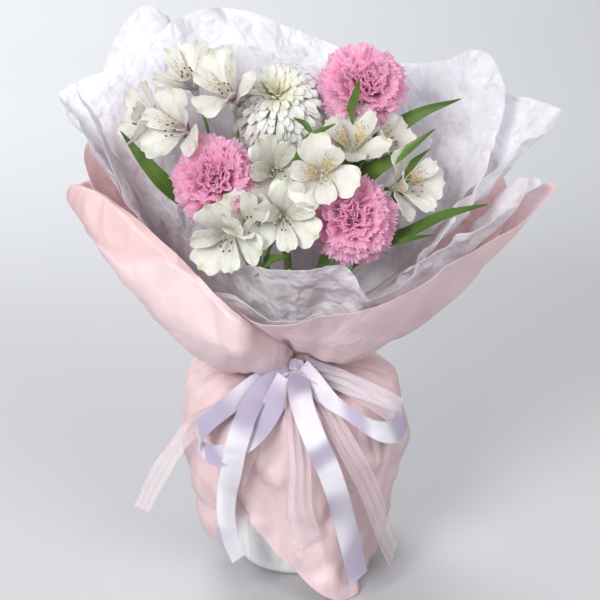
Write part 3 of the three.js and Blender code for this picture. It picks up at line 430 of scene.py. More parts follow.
def lattice(cell):
    """For each whole cell of space, the row of its own in a table of NOISE_ROWS numbers."""
    return (cell[:, 0] * 7919 + cell[:, 1] * 104729 + cell[:, 2] * 1299709) % NOISE_ROWS


def soft_noise(points, size, seed):
    """Smooth noise from -1 to 1 at each point, with features about size across."""
    table = np.random.default_rng(seed).random(NOISE_ROWS) * 2 - 1
    place = points / size + NOISE_START
    cell = np.floor(place).astype(np.int64)
    part = place - cell
    part = part * part * (3 - 2 * part)
    total = np.zeros(len(points))
    for corner in itertools.product((0, 1), repeat=3):
        total += table[lattice(cell + corner)] * np.prod(
            np.where(corner, part, 1 - part), axis=1)
    return total


def creases(points, size, seed):
    """The height of crumpled paper at each point: straight ridges, about size apart, round flat
    facets, from 0 on a ridge to about 1."""
    place = points / size + CREASE_START
    cell = np.floor(place).astype(np.int64)
    table = np.random.default_rng(seed).random((NOISE_ROWS, 3))
    near = np.full((2, len(points)), 9.0)
    for step in itertools.product((-1, 0, 1), repeat=3):
        c = cell + step
        gap = np.linalg.norm(c + table[lattice(c)] - place, axis=1)
        near = np.sort([gap, *near], axis=0)[:2]
    return near[1] - near[0]


def facing_frame(at, azimuth, elevation, spin):
    """Columns x, y, z and the place of a bloom that faces this way; azimuth 0 is the front."""
    a, e, s = math.radians(azimuth), math.radians(elevation), math.radians(spin)
    z = np.array([math.sin(a) * math.cos(e), -math.cos(a) * math.cos(e), math.sin(e)])
    x = unit(np.cross((0, 0, 1), z))
    y = np.cross(z, x)
    turned = [x * math.cos(s) + y * math.sin(s), y * math.cos(s) - x * math.sin(s), z]
    return np.array([*turned, np.array(at, float)])


def placed(local, seat):
    """Local points in the seat of a bloom."""
    return local @ seat[:3] + seat[3]


# ------------------------------------------------------------------ making meshes
def deselect():
    """Leaves nothing selected."""
    for thing in list(bpy.context.selected_objects):
        thing.select_set(False)


def pick(*things):
    """Selects these alone; the last one is active."""
    deselect()
    for thing in things:
        thing.select_set(True)
        bpy.context.view_layer.objects.active = thing


def apply_modifier(thing, kind, **values):
    """Adds a modifier and applies it."""
    pick(thing)
    modifier = thing.modifiers.new(kind.title(), kind)
    for name, value in values.items():
        setattr(modifier, name, value)
    bpy.ops.object.modifier_apply(modifier=modifier.name)


def settle(thing):
    """Puts the piece's place into its mesh."""
    pick(thing)
    bpy.ops.object.transform_apply(location=True, rotation=True, scale=True)
    return thing


def slab(across, along):
    """A blank to be bent: a thin slab one unit each way, of across by along cells. Its x runs
    across a petal, leaf or sheet, its y from root to rim and its z through it."""
    deselect()
    bpy.ops.mesh.primitive_grid_add(
        x_subdivisions=across, y_subdivisions=along, size=1, location=(0.5, 0.5, 0), calc_uvs=True)
    blank = settle(bpy.context.object)
    apply_modifier(blank, "SOLIDIFY", thickness=1, offset=0)
    return blank


def bend(blank, surface, thick, relief=None, seat=None, tint=0.5):
    """A copy of the blank along surface(u, v), in millimetres, thick through. relief(u, v, points)
    raises it along its normal, and tint, a number or tint(u, v), is kept for its material."""
    mesh = blank.data.copy()
    cells = np.empty(len(mesh.vertices) * 3)
    mesh.vertices.foreach_get("co", cells)
    u, v, w = cells.reshape(-1, 3).T
    columns, i = np.unique(np.round(u, 5), return_inverse=True)
    rows, j = np.unique(np.round(v, 5), return_inverse=True)
    every_u, every_v = (a.ravel() for a in np.meshgrid(columns, rows, indexing="ij"))
    flat = surface(every_u, every_v)
    face = flat.reshape(len(columns), len(rows), 3)
    if relief is not None:
        rise = relief(every_u, every_v, flat).reshape(face.shape[:2])
        face = face + normals_of(face) * rise[..., None]
    points = face[i, j] + normals_of(face)[i, j] * (w * thick)[:, None]
    if seat is not None:
        points = placed(points, seat)
    mesh.vertices.foreach_set("co", (points * MM).ravel())
    keep_tint(mesh, tint(u, v) if callable(tint) else tint)
    mesh.update()
    piece = bpy.data.objects.new("bent", mesh)
    bpy.context.collection.objects.link(piece)
    return piece


def normals_of(face):
    """The normals of a grid of points."""
    return unit(np.cross(np.gradient(face, axis=0), np.gradient(face, axis=1)))


def keep_tint(mesh, tint):
    """Stores a number for the whole mesh, or one for each point, which its material reads."""
    field = mesh.attributes.get("tint") or mesh.attributes.new("tint", "FLOAT", "POINT")
    field.data.foreach_set("value", np.zeros(len(mesh.vertices)) + tint)


def tube(points, radii, sides, tint=0.5):
    """A round stem through the points, in millimetres, with a radius at each or one for all."""
    deselect()
    bpy.ops.curve.primitive_nurbs_path_add()
    stem = bpy.context.object
    stem.location = (0, 0, 0)
    curve = stem.data
    curve.splines.clear()
    line = curve.splines.new("POLY")
    line.points.add(len(points) - 1)
    for knot, place, radius in zip(line.points, points, np.zeros(len(points)) + radii):
        knot.co = (*(np.asarray(place, float) * MM), 1)
        knot.radius = radius
    curve.bevel_depth = MM
    curve.bevel_resolution = max(0, sides // 4 - 1)
    curve.use_fill_caps = True
    pick(stem)
    bpy.ops.object.convert(target="MESH")
    keep_tint(stem.data, tint)
    return stem


def bead(centre, size, aim=None, tint=0.5, rings=(8, 6)):
    """A small rounded body, such as an anther, size (x, y, z) millimetres from side to side, with
    its z axis along aim."""
    deselect()
    bpy.ops.mesh.primitive_uv_sphere_add(segments=rings[0], ring_count=rings[1], radius=0.5 * MM)
    body = bpy.context.object
    body.scale = size
    if aim is not None:
        body.rotation_euler = Vector(aim).to_track_quat("Z", "Y").to_euler()
    body.location = np.asarray(centre, float) * MM
    settle(body)
    keep_tint(body.data, tint)
    return body


def lathe(profile, segments, name):
    """A profile of (r, z), in millimetres, spun round the vertical axis. A point on the axis
    closes it."""
    deselect()
    bpy.ops.mesh.primitive_plane_add(size=1)
    turned = bpy.context.object
    turned.name = name
    bpy.ops.object.mode_set(mode="EDIT")
    bpy.ops.mesh.delete(type="VERT")
    bpy.ops.object.mode_set(mode="OBJECT")
    mesh = turned.data
    mesh.vertices.add(len(profile))
    for vertex, (r, z) in zip(mesh.vertices, profile):
        vertex.co = (r * MM, 0, z * MM)
    mesh.edges.add(len(profile) - 1)
    for k, edge in enumerate(mesh.edges):
        edge.vertices = (k, k + 1)
    mesh.update()
    bpy.ops.object.mode_set(mode="EDIT")
    bpy.ops.mesh.select_all(action="SELECT")
    bpy.ops.mesh.spin(steps=segments, angle=math.tau, center=(0, 0, 0), axis=(0, 0, 1))
    bpy.ops.mesh.select_all(action="SELECT")
    bpy.ops.mesh.remove_doubles(threshold=1e-6)
    bpy.ops.mesh.normals_make_consistent(inside=False)
    bpy.ops.object.mode_set(mode="OBJECT")
    keep_tint(mesh, 0.5)
    return turned


def joined(name, parts):
    """One object made of the parts."""
    pick(*parts)
    if len(parts) > 1:
        bpy.ops.object.join()
    whole = bpy.context.view_layer.objects.active
    whole.name = whole.data.name = name
    return whole


def discard(*blanks):
    """Removes the blanks that pieces were bent from."""
    for blank in blanks:
        bpy.data.objects.remove(blank)


def paint(piece, *materials):
    """Gives the piece its materials; more than one are in the order of its slots."""
    piece.data.materials.clear()
    for material in materials:
        piece.data.materials.append(material)


def dress(piece, node, material=None, angle=50):
    """Smooths the finished piece and puts it in the place of its CAD node. Without a material it
    keeps those of its parts."""
    if material:
        paint(piece, material)
    pick(piece)
    bpy.ops.object.shade_smooth_by_angle(angle=math.radians(angle))
    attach(piece, "root")
    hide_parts(node)
    return piece


# ------------------------------------------------------------------ shader nodes
def node(tree, kind, inputs=None, **settings):
    """A new node; inputs gives a socket, by name or number, its value or what feeds it."""
    made = tree.nodes.new(kind)
    for name, value in settings.items():
        setattr(made, name, value)
    for key, value in (inputs or {}).items():
        if isinstance(value, bpy.types.NodeSocket):
            tree.links.new(value, made.inputs[key])
        else:
            made.inputs[key].default_value = value
    return made


def sums(tree, operation, a, b=0.0, clamp=False):
    """The output of a Math node."""
    return node(tree, "ShaderNodeMath", {0: a, 1: b},
                operation=operation, use_clamp=clamp).outputs[0]


def times(tree, *values):
    """The values multiplied together."""
    product, *others = values
    for value in others:
        product = sums(tree, "MULTIPLY", product, value)
    return product


def off_middle(tree, u):
    """How far u is from the middle of a piece, 0 to 0.5."""
    return sums(tree, "ABSOLUTE", sums(tree, "SUBTRACT", u, 0.5))


def combined(tree, x, y, z=0.0):
    """A vector of three values."""
    return node(tree, "ShaderNodeCombineXYZ", {0: x, 1: y, 2: z}).outputs[0]


def grained(tree, vector, scale, rotation=(0, 0, 0)):
    """The places scaled and turned, for a pattern that runs along one direction."""
    return node(tree, "ShaderNodeMapping", {
        "Vector": vector, "Rotation": rotation, "Scale": scale}).outputs[0]


def between(tree, factor, a, b, blend="MIX"):
    """The output of a colour mix."""
    return node(tree, "ShaderNodeMix", {0: factor, 6: a, 7: b}, data_type="RGBA",
                blend_type=blend, clamp_factor=True).outputs[2]


def stretch(tree, value, low, high, to_low=0.0, to_high=1.0):
    """A value's range from low to high, mapped to another one."""
    return node(tree, "ShaderNodeMapRange", {0: value, 1: low, 2: high, 3: to_low, 4: to_high},
                interpolation_type="SMOOTHSTEP").outputs[0]


def noise(tree, vector, scale, detail=3.0, roughness=0.55):
    """The value of a noise texture."""
    return node(tree, "ShaderNodeTexNoise", {
        "Vector": vector, "Scale": scale, "Detail": detail, "Roughness": roughness}).outputs[0]


def places(tree):
    """Where a point is on the piece, in metres."""
    return node(tree, "ShaderNodeTexCoord").outputs["Object"]


def across_and_along(tree):
    """The piece's own u and v."""
    uv = node(tree, "ShaderNodeUVMap").outputs[0]
    parts = node(tree, "ShaderNodeSeparateXYZ", {0: uv})
    return parts.outputs[0], parts.outputs[1]


def tint_of(tree):
    """The number that each part of a piece keeps."""
    return node(tree, "ShaderNodeAttribute", attribute_name="tint").outputs["Fac"]


def effect(tree, name, inputs, output, build):
    """The output (its name and socket type) of a node group that several materials share, made
    once. inputs gives each socket's type and the value, or what feeds it, in this tree."""
    group = bpy.data.node_groups.get(name)
    if group is None:
        group = bpy.data.node_groups.new(name, "ShaderNodeTree")
        for title, (kind, _) in inputs.items():
            group.interface.new_socket(title, in_out="INPUT", socket_type=kind)
        group.interface.new_socket(output[0], in_out="OUTPUT", socket_type=output[1])
        start, end = group.nodes.new("NodeGroupInput"), group.nodes.new("NodeGroupOutput")
        group.links.new(build(group, start.outputs), end.inputs[0])
    fed = {title: value for title, (_, value) in inputs.items()}
    return node(tree, "ShaderNodeGroup", fed, node_tree=group).outputs[0]


FLOAT, COLOUR, VECTOR = "NodeSocketFloat", "NodeSocketColor", "NodeSocketVector"


def mottle(tree, vector, ground, scale, amount):
    """A colour that grows lighter and darker in soft patches."""
    def build(group, given):
        patches = noise(group, given["Place"], given["Scale"], 4.0)
        centred = sums(group, "SUBTRACT", patches, 0.5)
        light = sums(group, "ADD", times(group, centred, given["Amount"]), 1.0)
        grey = node(group, "ShaderNodeCombineColor", {0: light, 1: light, 2: light}).outputs[0]
        return between(group, 1.0, given["Ground"], grey, "MULTIPLY")

    return effect(tree, "Mottled colour", {
        "Place": (VECTOR, vector), "Ground": (COLOUR, ground), "Scale": (FLOAT, scale),
        "Amount": (FLOAT, amount)}, ("Colour", COLOUR), build)


def veins(tree, u, v, count, spread):
    """Fine lines from a petal's root to its rim, 0 between them and 1 on them; spread is how
    much they fan out."""
    def build(group, given):
        middle = sums(group, "SUBTRACT", given["Across"], 0.5)
        fan = sums(group, "ADD", 1.0, times(group, given["Along"], given["Spread"]))
        place = sums(group, "DIVIDE", times(group, middle, given["Count"]), fan)
        drift = noise(group, combined(group, place, times(group, given["Along"], 3.0)), 2.0, 2.0)
        wave = sums(group, "SINE", sums(
            group, "ADD", times(group, place, 6.283), times(group, drift, 3.0)))
        return stretch(group, wave, 0.35, 1.0)

    return effect(tree, "Petal veins", {
        "Across": (FLOAT, u), "Along": (FLOAT, v), "Count": (FLOAT, count),
        "Spread": (FLOAT, spread)}, ("Line", FLOAT), build)


def crumpled(tree, vector, scale):
    """The height of paper that was crumpled and smoothed out: flat facets between creases."""
    def build(group, given):
        bent = noise(group, given["Place"], times(group, given["Scale"], 0.7), 2.0)
        shift = combined(group, times(group, bent, 0.02), times(group, bent, 0.016))
        moved = node(group, "ShaderNodeVectorMath", {0: given["Place"], 1: shift},
                     operation="ADD").outputs[0]
        facets, small = (node(group, "ShaderNodeTexVoronoi", {
            "Vector": moved, "Scale": scale}, feature="DISTANCE_TO_EDGE").outputs["Distance"]
            for scale in (given["Scale"], times(group, given["Scale"], 2.7)))
        return sums(group, "SUBTRACT", facets, times(group, small, 0.35))

    return effect(tree, "Crumpled sheet", {
        "Place": (VECTOR, vector), "Scale": (FLOAT, scale)}, ("Height", FLOAT), build)


def woven(tree, u, v, wefts, warps):
    """The height of a plain weave with this many threads along and across."""
    def build(group, given):
        a = sums(group, "SINE", times(group, given["Across"], given["Warps"]))
        b = sums(group, "SINE", times(group, given["Along"], given["Wefts"]))
        return times(group, a, b)

    return effect(tree, "Woven threads", {
        "Across": (FLOAT, u), "Along": (FLOAT, v), "Warps": (FLOAT, warps * math.tau),
        "Wefts": (FLOAT, wefts * math.tau)}, ("Height", FLOAT), build)


def new_material(name):
    """An empty material and its node tree."""
    material = bpy.data.materials.new(name)
    material.use_nodes = True
    material.node_tree.nodes.clear()
    return material, material.node_tree


def surface_of(tree, base, bump=None, bump_depth=0.1, glow=0.0, glow_colour=None, **inputs):
    """The finish of a material: a principled surface, and a share of glow, the light that comes
    through from behind."""
    sockets = {"Base Color": base}
    if bump is not None:
        sockets["Normal"] = node(tree, "ShaderNodeBump", {
            "Height": bump, "Strength": 1.0, "Distance": bump_depth * MM}).outputs[0]
    for name, value in inputs.items():
        sockets[name.replace("_", " ").title().replace("Ior", "IOR")] = value
    shader = node(tree, "ShaderNodeBsdfPrincipled", sockets).outputs[0]
    if glow:
        through = node(tree, "ShaderNodeBsdfTranslucent", {"Color": glow_colour or base})
        shader = node(tree, "ShaderNodeMixShader", {
            0: glow, 1: shader, 2: through.outputs[0]}).outputs[0]
    tree.links.new(shader, tree.nodes.new("ShaderNodeOutputMaterial").inputs["Surface"])


# ------------------------------------------------------------------ materials
def carnation_material(look):
    """Pink petals, deeper towards the heart, fine veins and a paler rim."""
    material, tree = new_material("Carnation petal")
    where, (u, v), tint = places(tree), across_and_along(tree), tint_of(tree)
    deep = stretch(tree, v, 0.2, 0.75)
    ground = between(tree, deep, look.carnation_heart, look.carnation_rim)
    lilac = between(tree, stretch(tree, tint, 0.0, 1.0, 0.0, 0.22), ground, (0.86, 0.56, 0.84, 1))
    edge = between(tree, stretch(tree, v, 0.7, 1.0, 0.0, 0.4), lilac, (0.98, 0.80, 0.90, 1))
    lines = veins(tree, u, v, 22.0, 0.6)
    veined = between(tree, times(tree, lines, 0.22), edge, (0.86, 0.30, 0.54, 1))
    base = mottle(tree, where, veined, 160.0, 0.25)
    surface_of(tree, base, bump=lines, bump_depth=0.15, glow=0.66, roughness=0.62,
               subsurface_weight=0.3, subsurface_scale=0.004, sheen_weight=0.25)
    return material


def mum_material(look):
    """Ivory florets with fine grooves, creamy yellow in the middle of the head."""
    material, tree = new_material("Chrysanthemum floret")
    where, (u, v), tint = places(tree), across_and_along(tree), tint_of(tree)
    middle = stretch(tree, tint, 0.0, 0.16, 0.75, 0.0)
    ground = between(tree, middle, look.mum_petal, look.mum_heart)
    root = between(tree, stretch(tree, v, 0.0, 0.5, 0.5, 0.0), ground, (0.88, 0.86, 0.66, 1))
    lines = veins(tree, u, v, 5.0, 0.0)
    base = mottle(tree, where, root, 120.0, 0.12)
    surface_of(tree, base, bump=lines, bump_depth=0.12, glow=0.42, roughness=0.6,
               subsurface_weight=0.1, subsurface_scale=0.003, sheen_weight=0.1)
    return material


TEPAL_FINISH = {  # throat, stripe and how strong, dashes, yellow blotch
    "lilac": ((0.66, 0.40, 0.58, 1), (0.42, 0.50, 0.22, 1), 0.5, 0.75, 0.15),
    "green": ((0.78, 0.80, 0.62, 1), (0.42, 0.55, 0.18, 1), 0.6, 0.45, 0.1),
    "cream": ((0.92, 0.88, 0.68, 1), (0.70, 0.68, 0.40, 1), 0.25, 1.0, 0.5),
}


def tepal_material(look, kind):
    """White tepals with a greenish midrib and tip, and brown dashes on the marked ones."""
    throat, stripe, stripe_share, dash_share, yellow_share = TEPAL_FINISH[kind]
    material, tree = new_material(f"Alstroemeria {kind}")
    where, (u, v), tint = places(tree), across_and_along(tree), tint_of(tree)
    aside = off_middle(tree, u)
    ground = between(tree, stretch(tree, v, 0.05, 0.5, 0.8, 0.0), look.tepal, throat)
    rib = stretch(tree, aside, 0.0, 0.06, 0.4 * stripe_share, 0.0)
    reach = stretch(tree, v, 0.45, 0.9)
    ribbed = between(tree, times(tree, rib, reach), ground, stripe)
    tip = times(tree, stretch(tree, v, 0.84, 1.0), stretch(tree, aside, 0.22, 0.0), stripe_share)
    tipped = between(tree, tip, ribbed, stripe)
    marked = stretch(tree, tint, 0.6, 0.8)
    yellow = times(tree, stretch(tree, v, 0.2, 0.42), stretch(tree, v, 0.78, 0.5), marked,
                   yellow_share)
    sunny = between(tree, yellow, tipped, (0.90, 0.70, 0.22, 1))
    lanes = sums(tree, "SINE", times(tree, u, 44.0))
    breaks = noise(tree, combined(tree, times(tree, u, 7.0), times(tree, v, 9.0)), 1.6, 1.0)
    dash = times(tree, stretch(tree, lanes, 0.45, 0.8), stretch(tree, breaks, 0.5, 0.56))
    zone = times(tree, stretch(tree, v, 0.12, 0.3), stretch(tree, v, 0.84, 0.7))
    dashed = times(tree, times(tree, dash, zone), times(tree, marked, dash_share))
    drawn = between(tree, dashed, sunny, (0.16, 0.035, 0.03, 1))
    lines = veins(tree, u, v, 20.0, 0.2)
    streak = times(tree, lines, stretch(tree, v, 0.3, 0.95, 0.06, 0.06 + 0.4 * stripe_share))
    lined = between(tree, streak, drawn, stripe)
    base = mottle(tree, where, lined, 140.0, 0.12)
    surface_of(tree, base, bump=lines, bump_depth=0.15, glow=0.38, roughness=0.5,
               subsurface_weight=0.08, subsurface_scale=0.002, sheen_weight=0.1)
    return material


def anther_material(name, tone):
    """Pollen grains on an anther, or the smooth flesh of a filament."""
    material, tree = new_material(name)
    where = places(tree)
    grains = noise(tree, where, 2600.0, 2.0)
    base = mottle(tree, where, tone, 900.0, 0.7)
    surface_of(tree, base, bump=grains, bump_depth=0.2, roughness=0.8)
    return material


def leaf_material(look):
    """A leaf with parallel veins and a pale midrib, a little glossy."""
    material, tree = new_material("Leaf")
    where, (u, v), tint = places(tree), across_and_along(tree), tint_of(tree)
    lines = veins(tree, u, v, 13.0, 0.0)
    light = between(tree, times(tree, lines, 0.3), look.leaf, (0.20, 0.33, 0.08, 1))
    aside = off_middle(tree, u)
    rib = stretch(tree, aside, 0.0, 0.035, 0.6, 0.0)
    ribbed = between(tree, rib, light, (0.22, 0.38, 0.10, 1))
    young = between(tree, stretch(tree, tint, 0.0, 1.0, 0.0, 0.4), ribbed, (0.20, 0.36, 0.05, 1))
    base = mottle(tree, where, young, 90.0, 0.5)
    surface_of(tree, base, bump=lines, bump_depth=0.25, glow=0.18, roughness=0.42,
               coat_weight=0.12, coat_roughness=0.3)
    return material


def stem_material(look):
    """A smooth green stem with long fine ribs and a dull bloom."""
    material, tree = new_material("Stem")
    where = places(tree)
    ribs = noise(tree, grained(tree, where, (1, 1, 0.08)), 900.0, 2.0)
    bloom = stretch(tree, ribs, 0.45, 0.7, 0.0, 0.35)
    dull = between(tree, bloom, look.stem, (0.30, 0.42, 0.22, 1))
    base = mottle(tree, where, dull, 70.0, 0.4)
    surface_of(tree, base, bump=ribs, bump_depth=0.15, roughness=0.48)
    return material


def pink_paper_material(look):
    """Frosted pink paper: soft creases, a faint cloudiness, and peach light through it; some sheets
    are painted a deeper salmon with a peachier glow, as painted backlight.
    """
    material, tree = new_material("Pink paper")
    where, tint = places(tree), tint_of(tree)
    folds = crumpled(tree, grained(tree, where, (1, 1, 0.6)), 17.0)
    # painted backlight: sheets with a low tint get a deeper salmon ground, those with a high one
    # the paler pink
    ply_and_painted_backlight = between(tree, tint, (0.90, 0.72, 0.73, 1), look.pink)
    cloud = mottle(tree, where, ply_and_painted_backlight, 22.0, 0.14)
    # painted backlight too: the glow is peachier on sheets with a low tint
    warm = between(tree, tint, (0.96, 0.69, 0.66, 1), (0.98, 0.82, 0.83, 1))
    fine = noise(tree, where, 700.0, 3.0)
    height = sums(tree, "ADD", folds, times(tree, fine, 0.012))
    rough = stretch(tree, noise(tree, where, 40.0, 2.0), 0.3, 0.7, 0.36, 0.5)
    surface_of(tree, cloud, bump=height, bump_depth=9.0, glow=0.42, glow_colour=warm,
               roughness=rough, sheen_weight=0.2)
    return material


def tissue_material(look):
    """White tissue: crumpled, with long fibres and thinner patches that let light through."""
    material, tree = new_material("Tissue")
    where = places(tree)
    folds = crumpled(tree, where, 38.0)
    one_way = grained(tree, where, (1, 0.16, 0.5), (0.5, 0.3, 0.8))
    fibres = stretch(tree, noise(tree, one_way, 420.0, 5.0, 0.7), 0.52, 0.66)
    other_way = grained(tree, where, (0.2, 1, 0.6), (-0.4, 0.9, -0.5))
    crossing = stretch(tree, noise(tree, other_way, 360.0, 5.0, 0.7), 0.55, 0.68)
    threads = sums(tree, "ADD", fibres, crossing, clamp=True)
    pale = between(tree, times(tree, threads, 0.5), look.tissue, (0.93, 0.93, 0.95, 1))
    base = mottle(tree, where, pale, 60.0, 0.16)
    height = sums(tree, "ADD", folds, times(tree, threads, 0.02))
    cover = stretch(tree, threads, 0.0, 1.0, 0.68, 0.92)
    surface_of(tree, base, bump=height, bump_depth=7.5, glow=0.5, glow_colour=base,
               roughness=0.68, alpha=cover)
    return material


def satin_material(look):
    """Close-woven satin that shines across its threads, with soft bands of painted shade along it
    that stand for its sheen where it bends.
    """
    material, tree = new_material("Satin")
    where, (u, v) = places(tree), across_and_along(tree)
    threads = woven(tree, u, v, 1200.0, 60.0)
    selvedge = stretch(tree, off_middle(tree, u), 0.455, 0.475)
    ground = between(tree, times(tree, selvedge, 0.6), look.satin, (0.88, 0.66, 0.74, 1))
    # painted shade: soft noise, mostly along the ribbon and shifted by each strip's tint, mixes
    # lilac-grey shade into the light ground to stand for the satin's sheen
    spread = combined(tree, times(tree, u, 0.25), times(tree, v, 4.5),
                      times(tree, tint_of(tree), 9.0))
    shade = stretch(tree, noise(tree, spread, 1.0, 0.0), 0.57, 0.41)
    painted_shade_bands = between(tree, shade, ground, (0.54, 0.48, 0.64, 1))
    base = mottle(tree, where, painted_shade_bands, 60.0, 0.05)
    surface_of(tree, base, bump=sums(tree, "ADD", threads, times(tree, selvedge, 2.0)),
               bump_depth=0.05, glow=0.08, metallic=0.35, roughness=0.3, anisotropic=0.75,
               sheen_weight=0.2)
    return material


def organza_material(look):
    """Sheer organza with a denser edge that glitters."""
    material, tree = new_material("Organza")
    where, (u, v) = places(tree), across_and_along(tree)
    threads = woven(tree, u, v, 900.0, 45.0)
    edge = stretch(tree, off_middle(tree, u), 0.44, 0.475)
    glitter = stretch(tree, node(tree, "ShaderNodeTexVoronoi", {
        "Vector": where, "Scale": 1500.0}).outputs["Color"], 0.55, 0.75)
    spark = times(tree, edge, glitter)
    ground = mottle(tree, where, look.organza, 50.0, 0.12)
    rim = between(tree, edge, ground, (0.90, 0.62, 0.68, 1))
    base = between(tree, spark, rim, (1.0, 0.93, 0.88, 1))
    sheer = stretch(tree, threads, -0.2, 0.9, 0.2, 0.42)
    cover = sums(tree, "MAXIMUM", sheer, times(tree, edge, 0.8))
    rough = stretch(tree, spark, 0, 1, 0.45, 0.2)
    surface_of(tree, base, bump=threads, bump_depth=0.05, roughness=rough,
               metallic=times(tree, spark, 0.6), alpha=cover)
    return material


def glaze_material(look):
    """White glaze with a soft ripple and a few fine specks."""
    material, tree = new_material("White glaze")
    where = places(tree)
    ripple = noise(tree, where, 60.0, 2.0)
    specks = stretch(tree, noise(tree, where, 900.0, 1.0), 0.74, 0.8)
    warm = between(tree, times(tree, specks, 0.3), look.glaze, (0.55, 0.50, 0.42, 1))
    base = mottle(tree, where, warm, 30.0, 0.06)
    rough = stretch(tree, noise(tree, where, 120.0, 3.0), 0.35, 0.7, 0.14, 0.26)
    surface_of(tree, base, bump=ripple, bump_depth=0.25, roughness=rough, coat_weight=0.5,
               coat_roughness=0.08)
    return material


def water_material():
    """Clear water, a little green from the stems."""
    material, tree = new_material("Water")
    where = places(tree)
    base = mottle(tree, where, (0.80, 0.90, 0.87, 1), 30.0, 0.1)
    surface_of(tree, base, bump=noise(tree, where, 45.0, 2.0), bump_depth=0.4, roughness=0.03,
               transmission_weight=0.9, ior=1.333)
    return material


def twine_material():
    """Natural twine with loose hairs and twisted strands."""
    material, tree = new_material("Twine")
    where = places(tree)
    strands = noise(tree, grained(tree, where, (0.3, 0.3, 1)), 1500.0, 3.0)
    base = mottle(tree, where, (0.42, 0.30, 0.16, 1), 500.0, 0.6)
    surface_of(tree, base, bump=strands, bump_depth=0.4, roughness=0.9)
    return material


# ------------------------------------------------------------------ flowers
UP = np.array([0, 0, 1])


def outwards(turn):
    """The directions away from a bloom's axis, turn degrees round it, and sideways from there."""
    a = math.radians(turn)
    return np.array([math.cos(a), math.sin(a), 0]), np.array([-math.sin(a), math.cos(a), 0])


def arch(out, low, high, v):
    """The direction from a petal's root to each v, and its normal there, when it leans low off the
    axis at the root and high at the rim, in degrees."""
    low, high = math.radians(low), math.radians(high)
    mean, here = low + (high - low) * v / 2, low + (high - low) * v
    direction = out * np.sin(mean)[:, None] + UP * np.cos(mean)[:, None]
    return direction, UP * np.sin(here)[:, None] - out * np.cos(here)[:, None]


def petal_surface(turn, tilt, reach, width, skew, phase, frill, teeth):
    """One fan petal of a carnation: it rises from the root, arches outwards, is turned a little
    on its own axis (skew) and ruffles towards its toothed rim."""
    out, side = outwards(turn)
    twist = math.radians(skew)

    def surface(u, v):
        across = 2 * u - 1
        tooth = np.abs((across * teeth / 2 + phase + 0.25 * np.sin(across * 11)) % 1 - 0.5) * 2
        rim = np.clip((v - 0.76) / 0.24, 0, 1) ** 1.3
        deep = 3.0 + 1.4 * np.sin(across * 4 + phase * 9)
        far = 4 + (reach - 4) * v * (1 - 0.15 * across**2) + deep * (tooth - 0.6) * rim
        wave = np.sin(across * 3.6 + phase * 7) + 0.55 * np.sin(across * 8.3 + phase * 13 + 3 * v)
        ripple = frill * v**1.6 * wave - 0.12 * width * across**2 * v * (1 - v)
        direction, normal = arch(out, tilt * 0.6, tilt * 1.15 + 4, v)
        flat = side * math.cos(twist) + normal * math.sin(twist)
        normal = normal * math.cos(twist) - side * math.sin(twist)
        half = (2.2 + (width - 2.2) * np.sin(v * 1.5) ** 1.3) / 2
        sway = 0.9 * v**2 * np.sin(across * 6 + phase * 5)
        return (UP * PETAL_ROOT + direction * (far + sway)[:, None]
                + flat * (across * half)[:, None] + normal * ripple[:, None])

    return surface


def make_carnation(name, head, seed, blank, look, material):
    """A full carnation head of ruffled petals round its axis, more and more crumpled inwards."""
    draw = np.random.default_rng(seed)
    seat = facing_frame(**head)
    petals = []
    for ring, (count, tilt, reach, width) in enumerate(PETAL_RINGS):
        inner = ring / (len(PETAL_RINGS) - 1)
        for k in range(count):
            turn = 360 * (k + 0.5 * (ring % 2)) / count + draw.uniform(-16, 16)
            surface = petal_surface(
                turn, tilt + draw.uniform(-8, 8) * (1 + inner), reach * draw.uniform(0.88, 1.02),
                width * draw.uniform(0.85, 1.12), draw.uniform(-1, 1) * (8 + 62 * inner),
                draw.random(), draw.uniform(1.6, 3.2), look.teeth)
            outer = max(0, 1 - ring / 2.5) * draw.uniform(0, 1)
            petals.append(bend(blank, surface, look.petal_thickness / MM, seat=seat, tint=outer))
    heart = bead(seat[3] + 2 * seat[2], (17, 17, 19), seat[2], tint=0.0, rings=(16, 12))
    return dress(joined(name, [heart, *petals]), name, material)


def floret_surface(polar, turn, lean, width, root, top):
    """One floret: it rises from the core lean degrees nearer the crown than its tip, and widens to
    a rounded, channelled end that lies over the florets below."""
    out, side = outwards(turn)

    def surface(u, v):
        across = 2 * u - 1
        angle = np.radians(polar - lean * (1 - v) ** 1.2)
        ray = out * np.sin(angle)[:, None] + UP * np.cos(angle)[:, None]
        tip = np.sqrt(np.maximum(1 - np.clip((v - 0.7) / 0.3, 0, 1) ** 2.4, 0.02))
        half = width / 2 * (0.35 + 0.65 * np.sin(np.minimum(v / 0.8, 1) * 1.57)) * tip
        rise = root + (top - root) * np.sin(v * 1.75) - 0.5 * half * (1 - across**2)
        return ray * rise[:, None] + side * (across * half)[:, None]

    return surface


def make_mum(name, head, look, blank, core, material):
    """The chrysanthemum: florets all over a rounded core, short and upright at the crown."""
    draw = np.random.default_rng(5)
    seat = facing_frame(**head)
    florets = []
    for k in range(look.florets):
        share = (k + 0.5) / look.florets
        polar = math.degrees(math.acos(1 - 1.45 * share))
        young = max(0, 1 - polar / 32)
        surface = floret_surface(
            polar + draw.uniform(-3, 3), k * GOLDEN_ANGLE + draw.uniform(-6, 6),
            min(36, 0.9 * polar) + draw.uniform(-4, 4),
            (5.6 - 2.9 * young) * draw.uniform(0.8, 1.1),
            MUM_CORE_R - 5, MUM_R * (0.97 - 0.1 * young) * draw.uniform(0.95, 1.03))
        florets.append(bend(blank, surface, look.petal_thickness / MM, seat=seat, tint=share))
    return dress(joined(name, [core, *florets]), name, material)


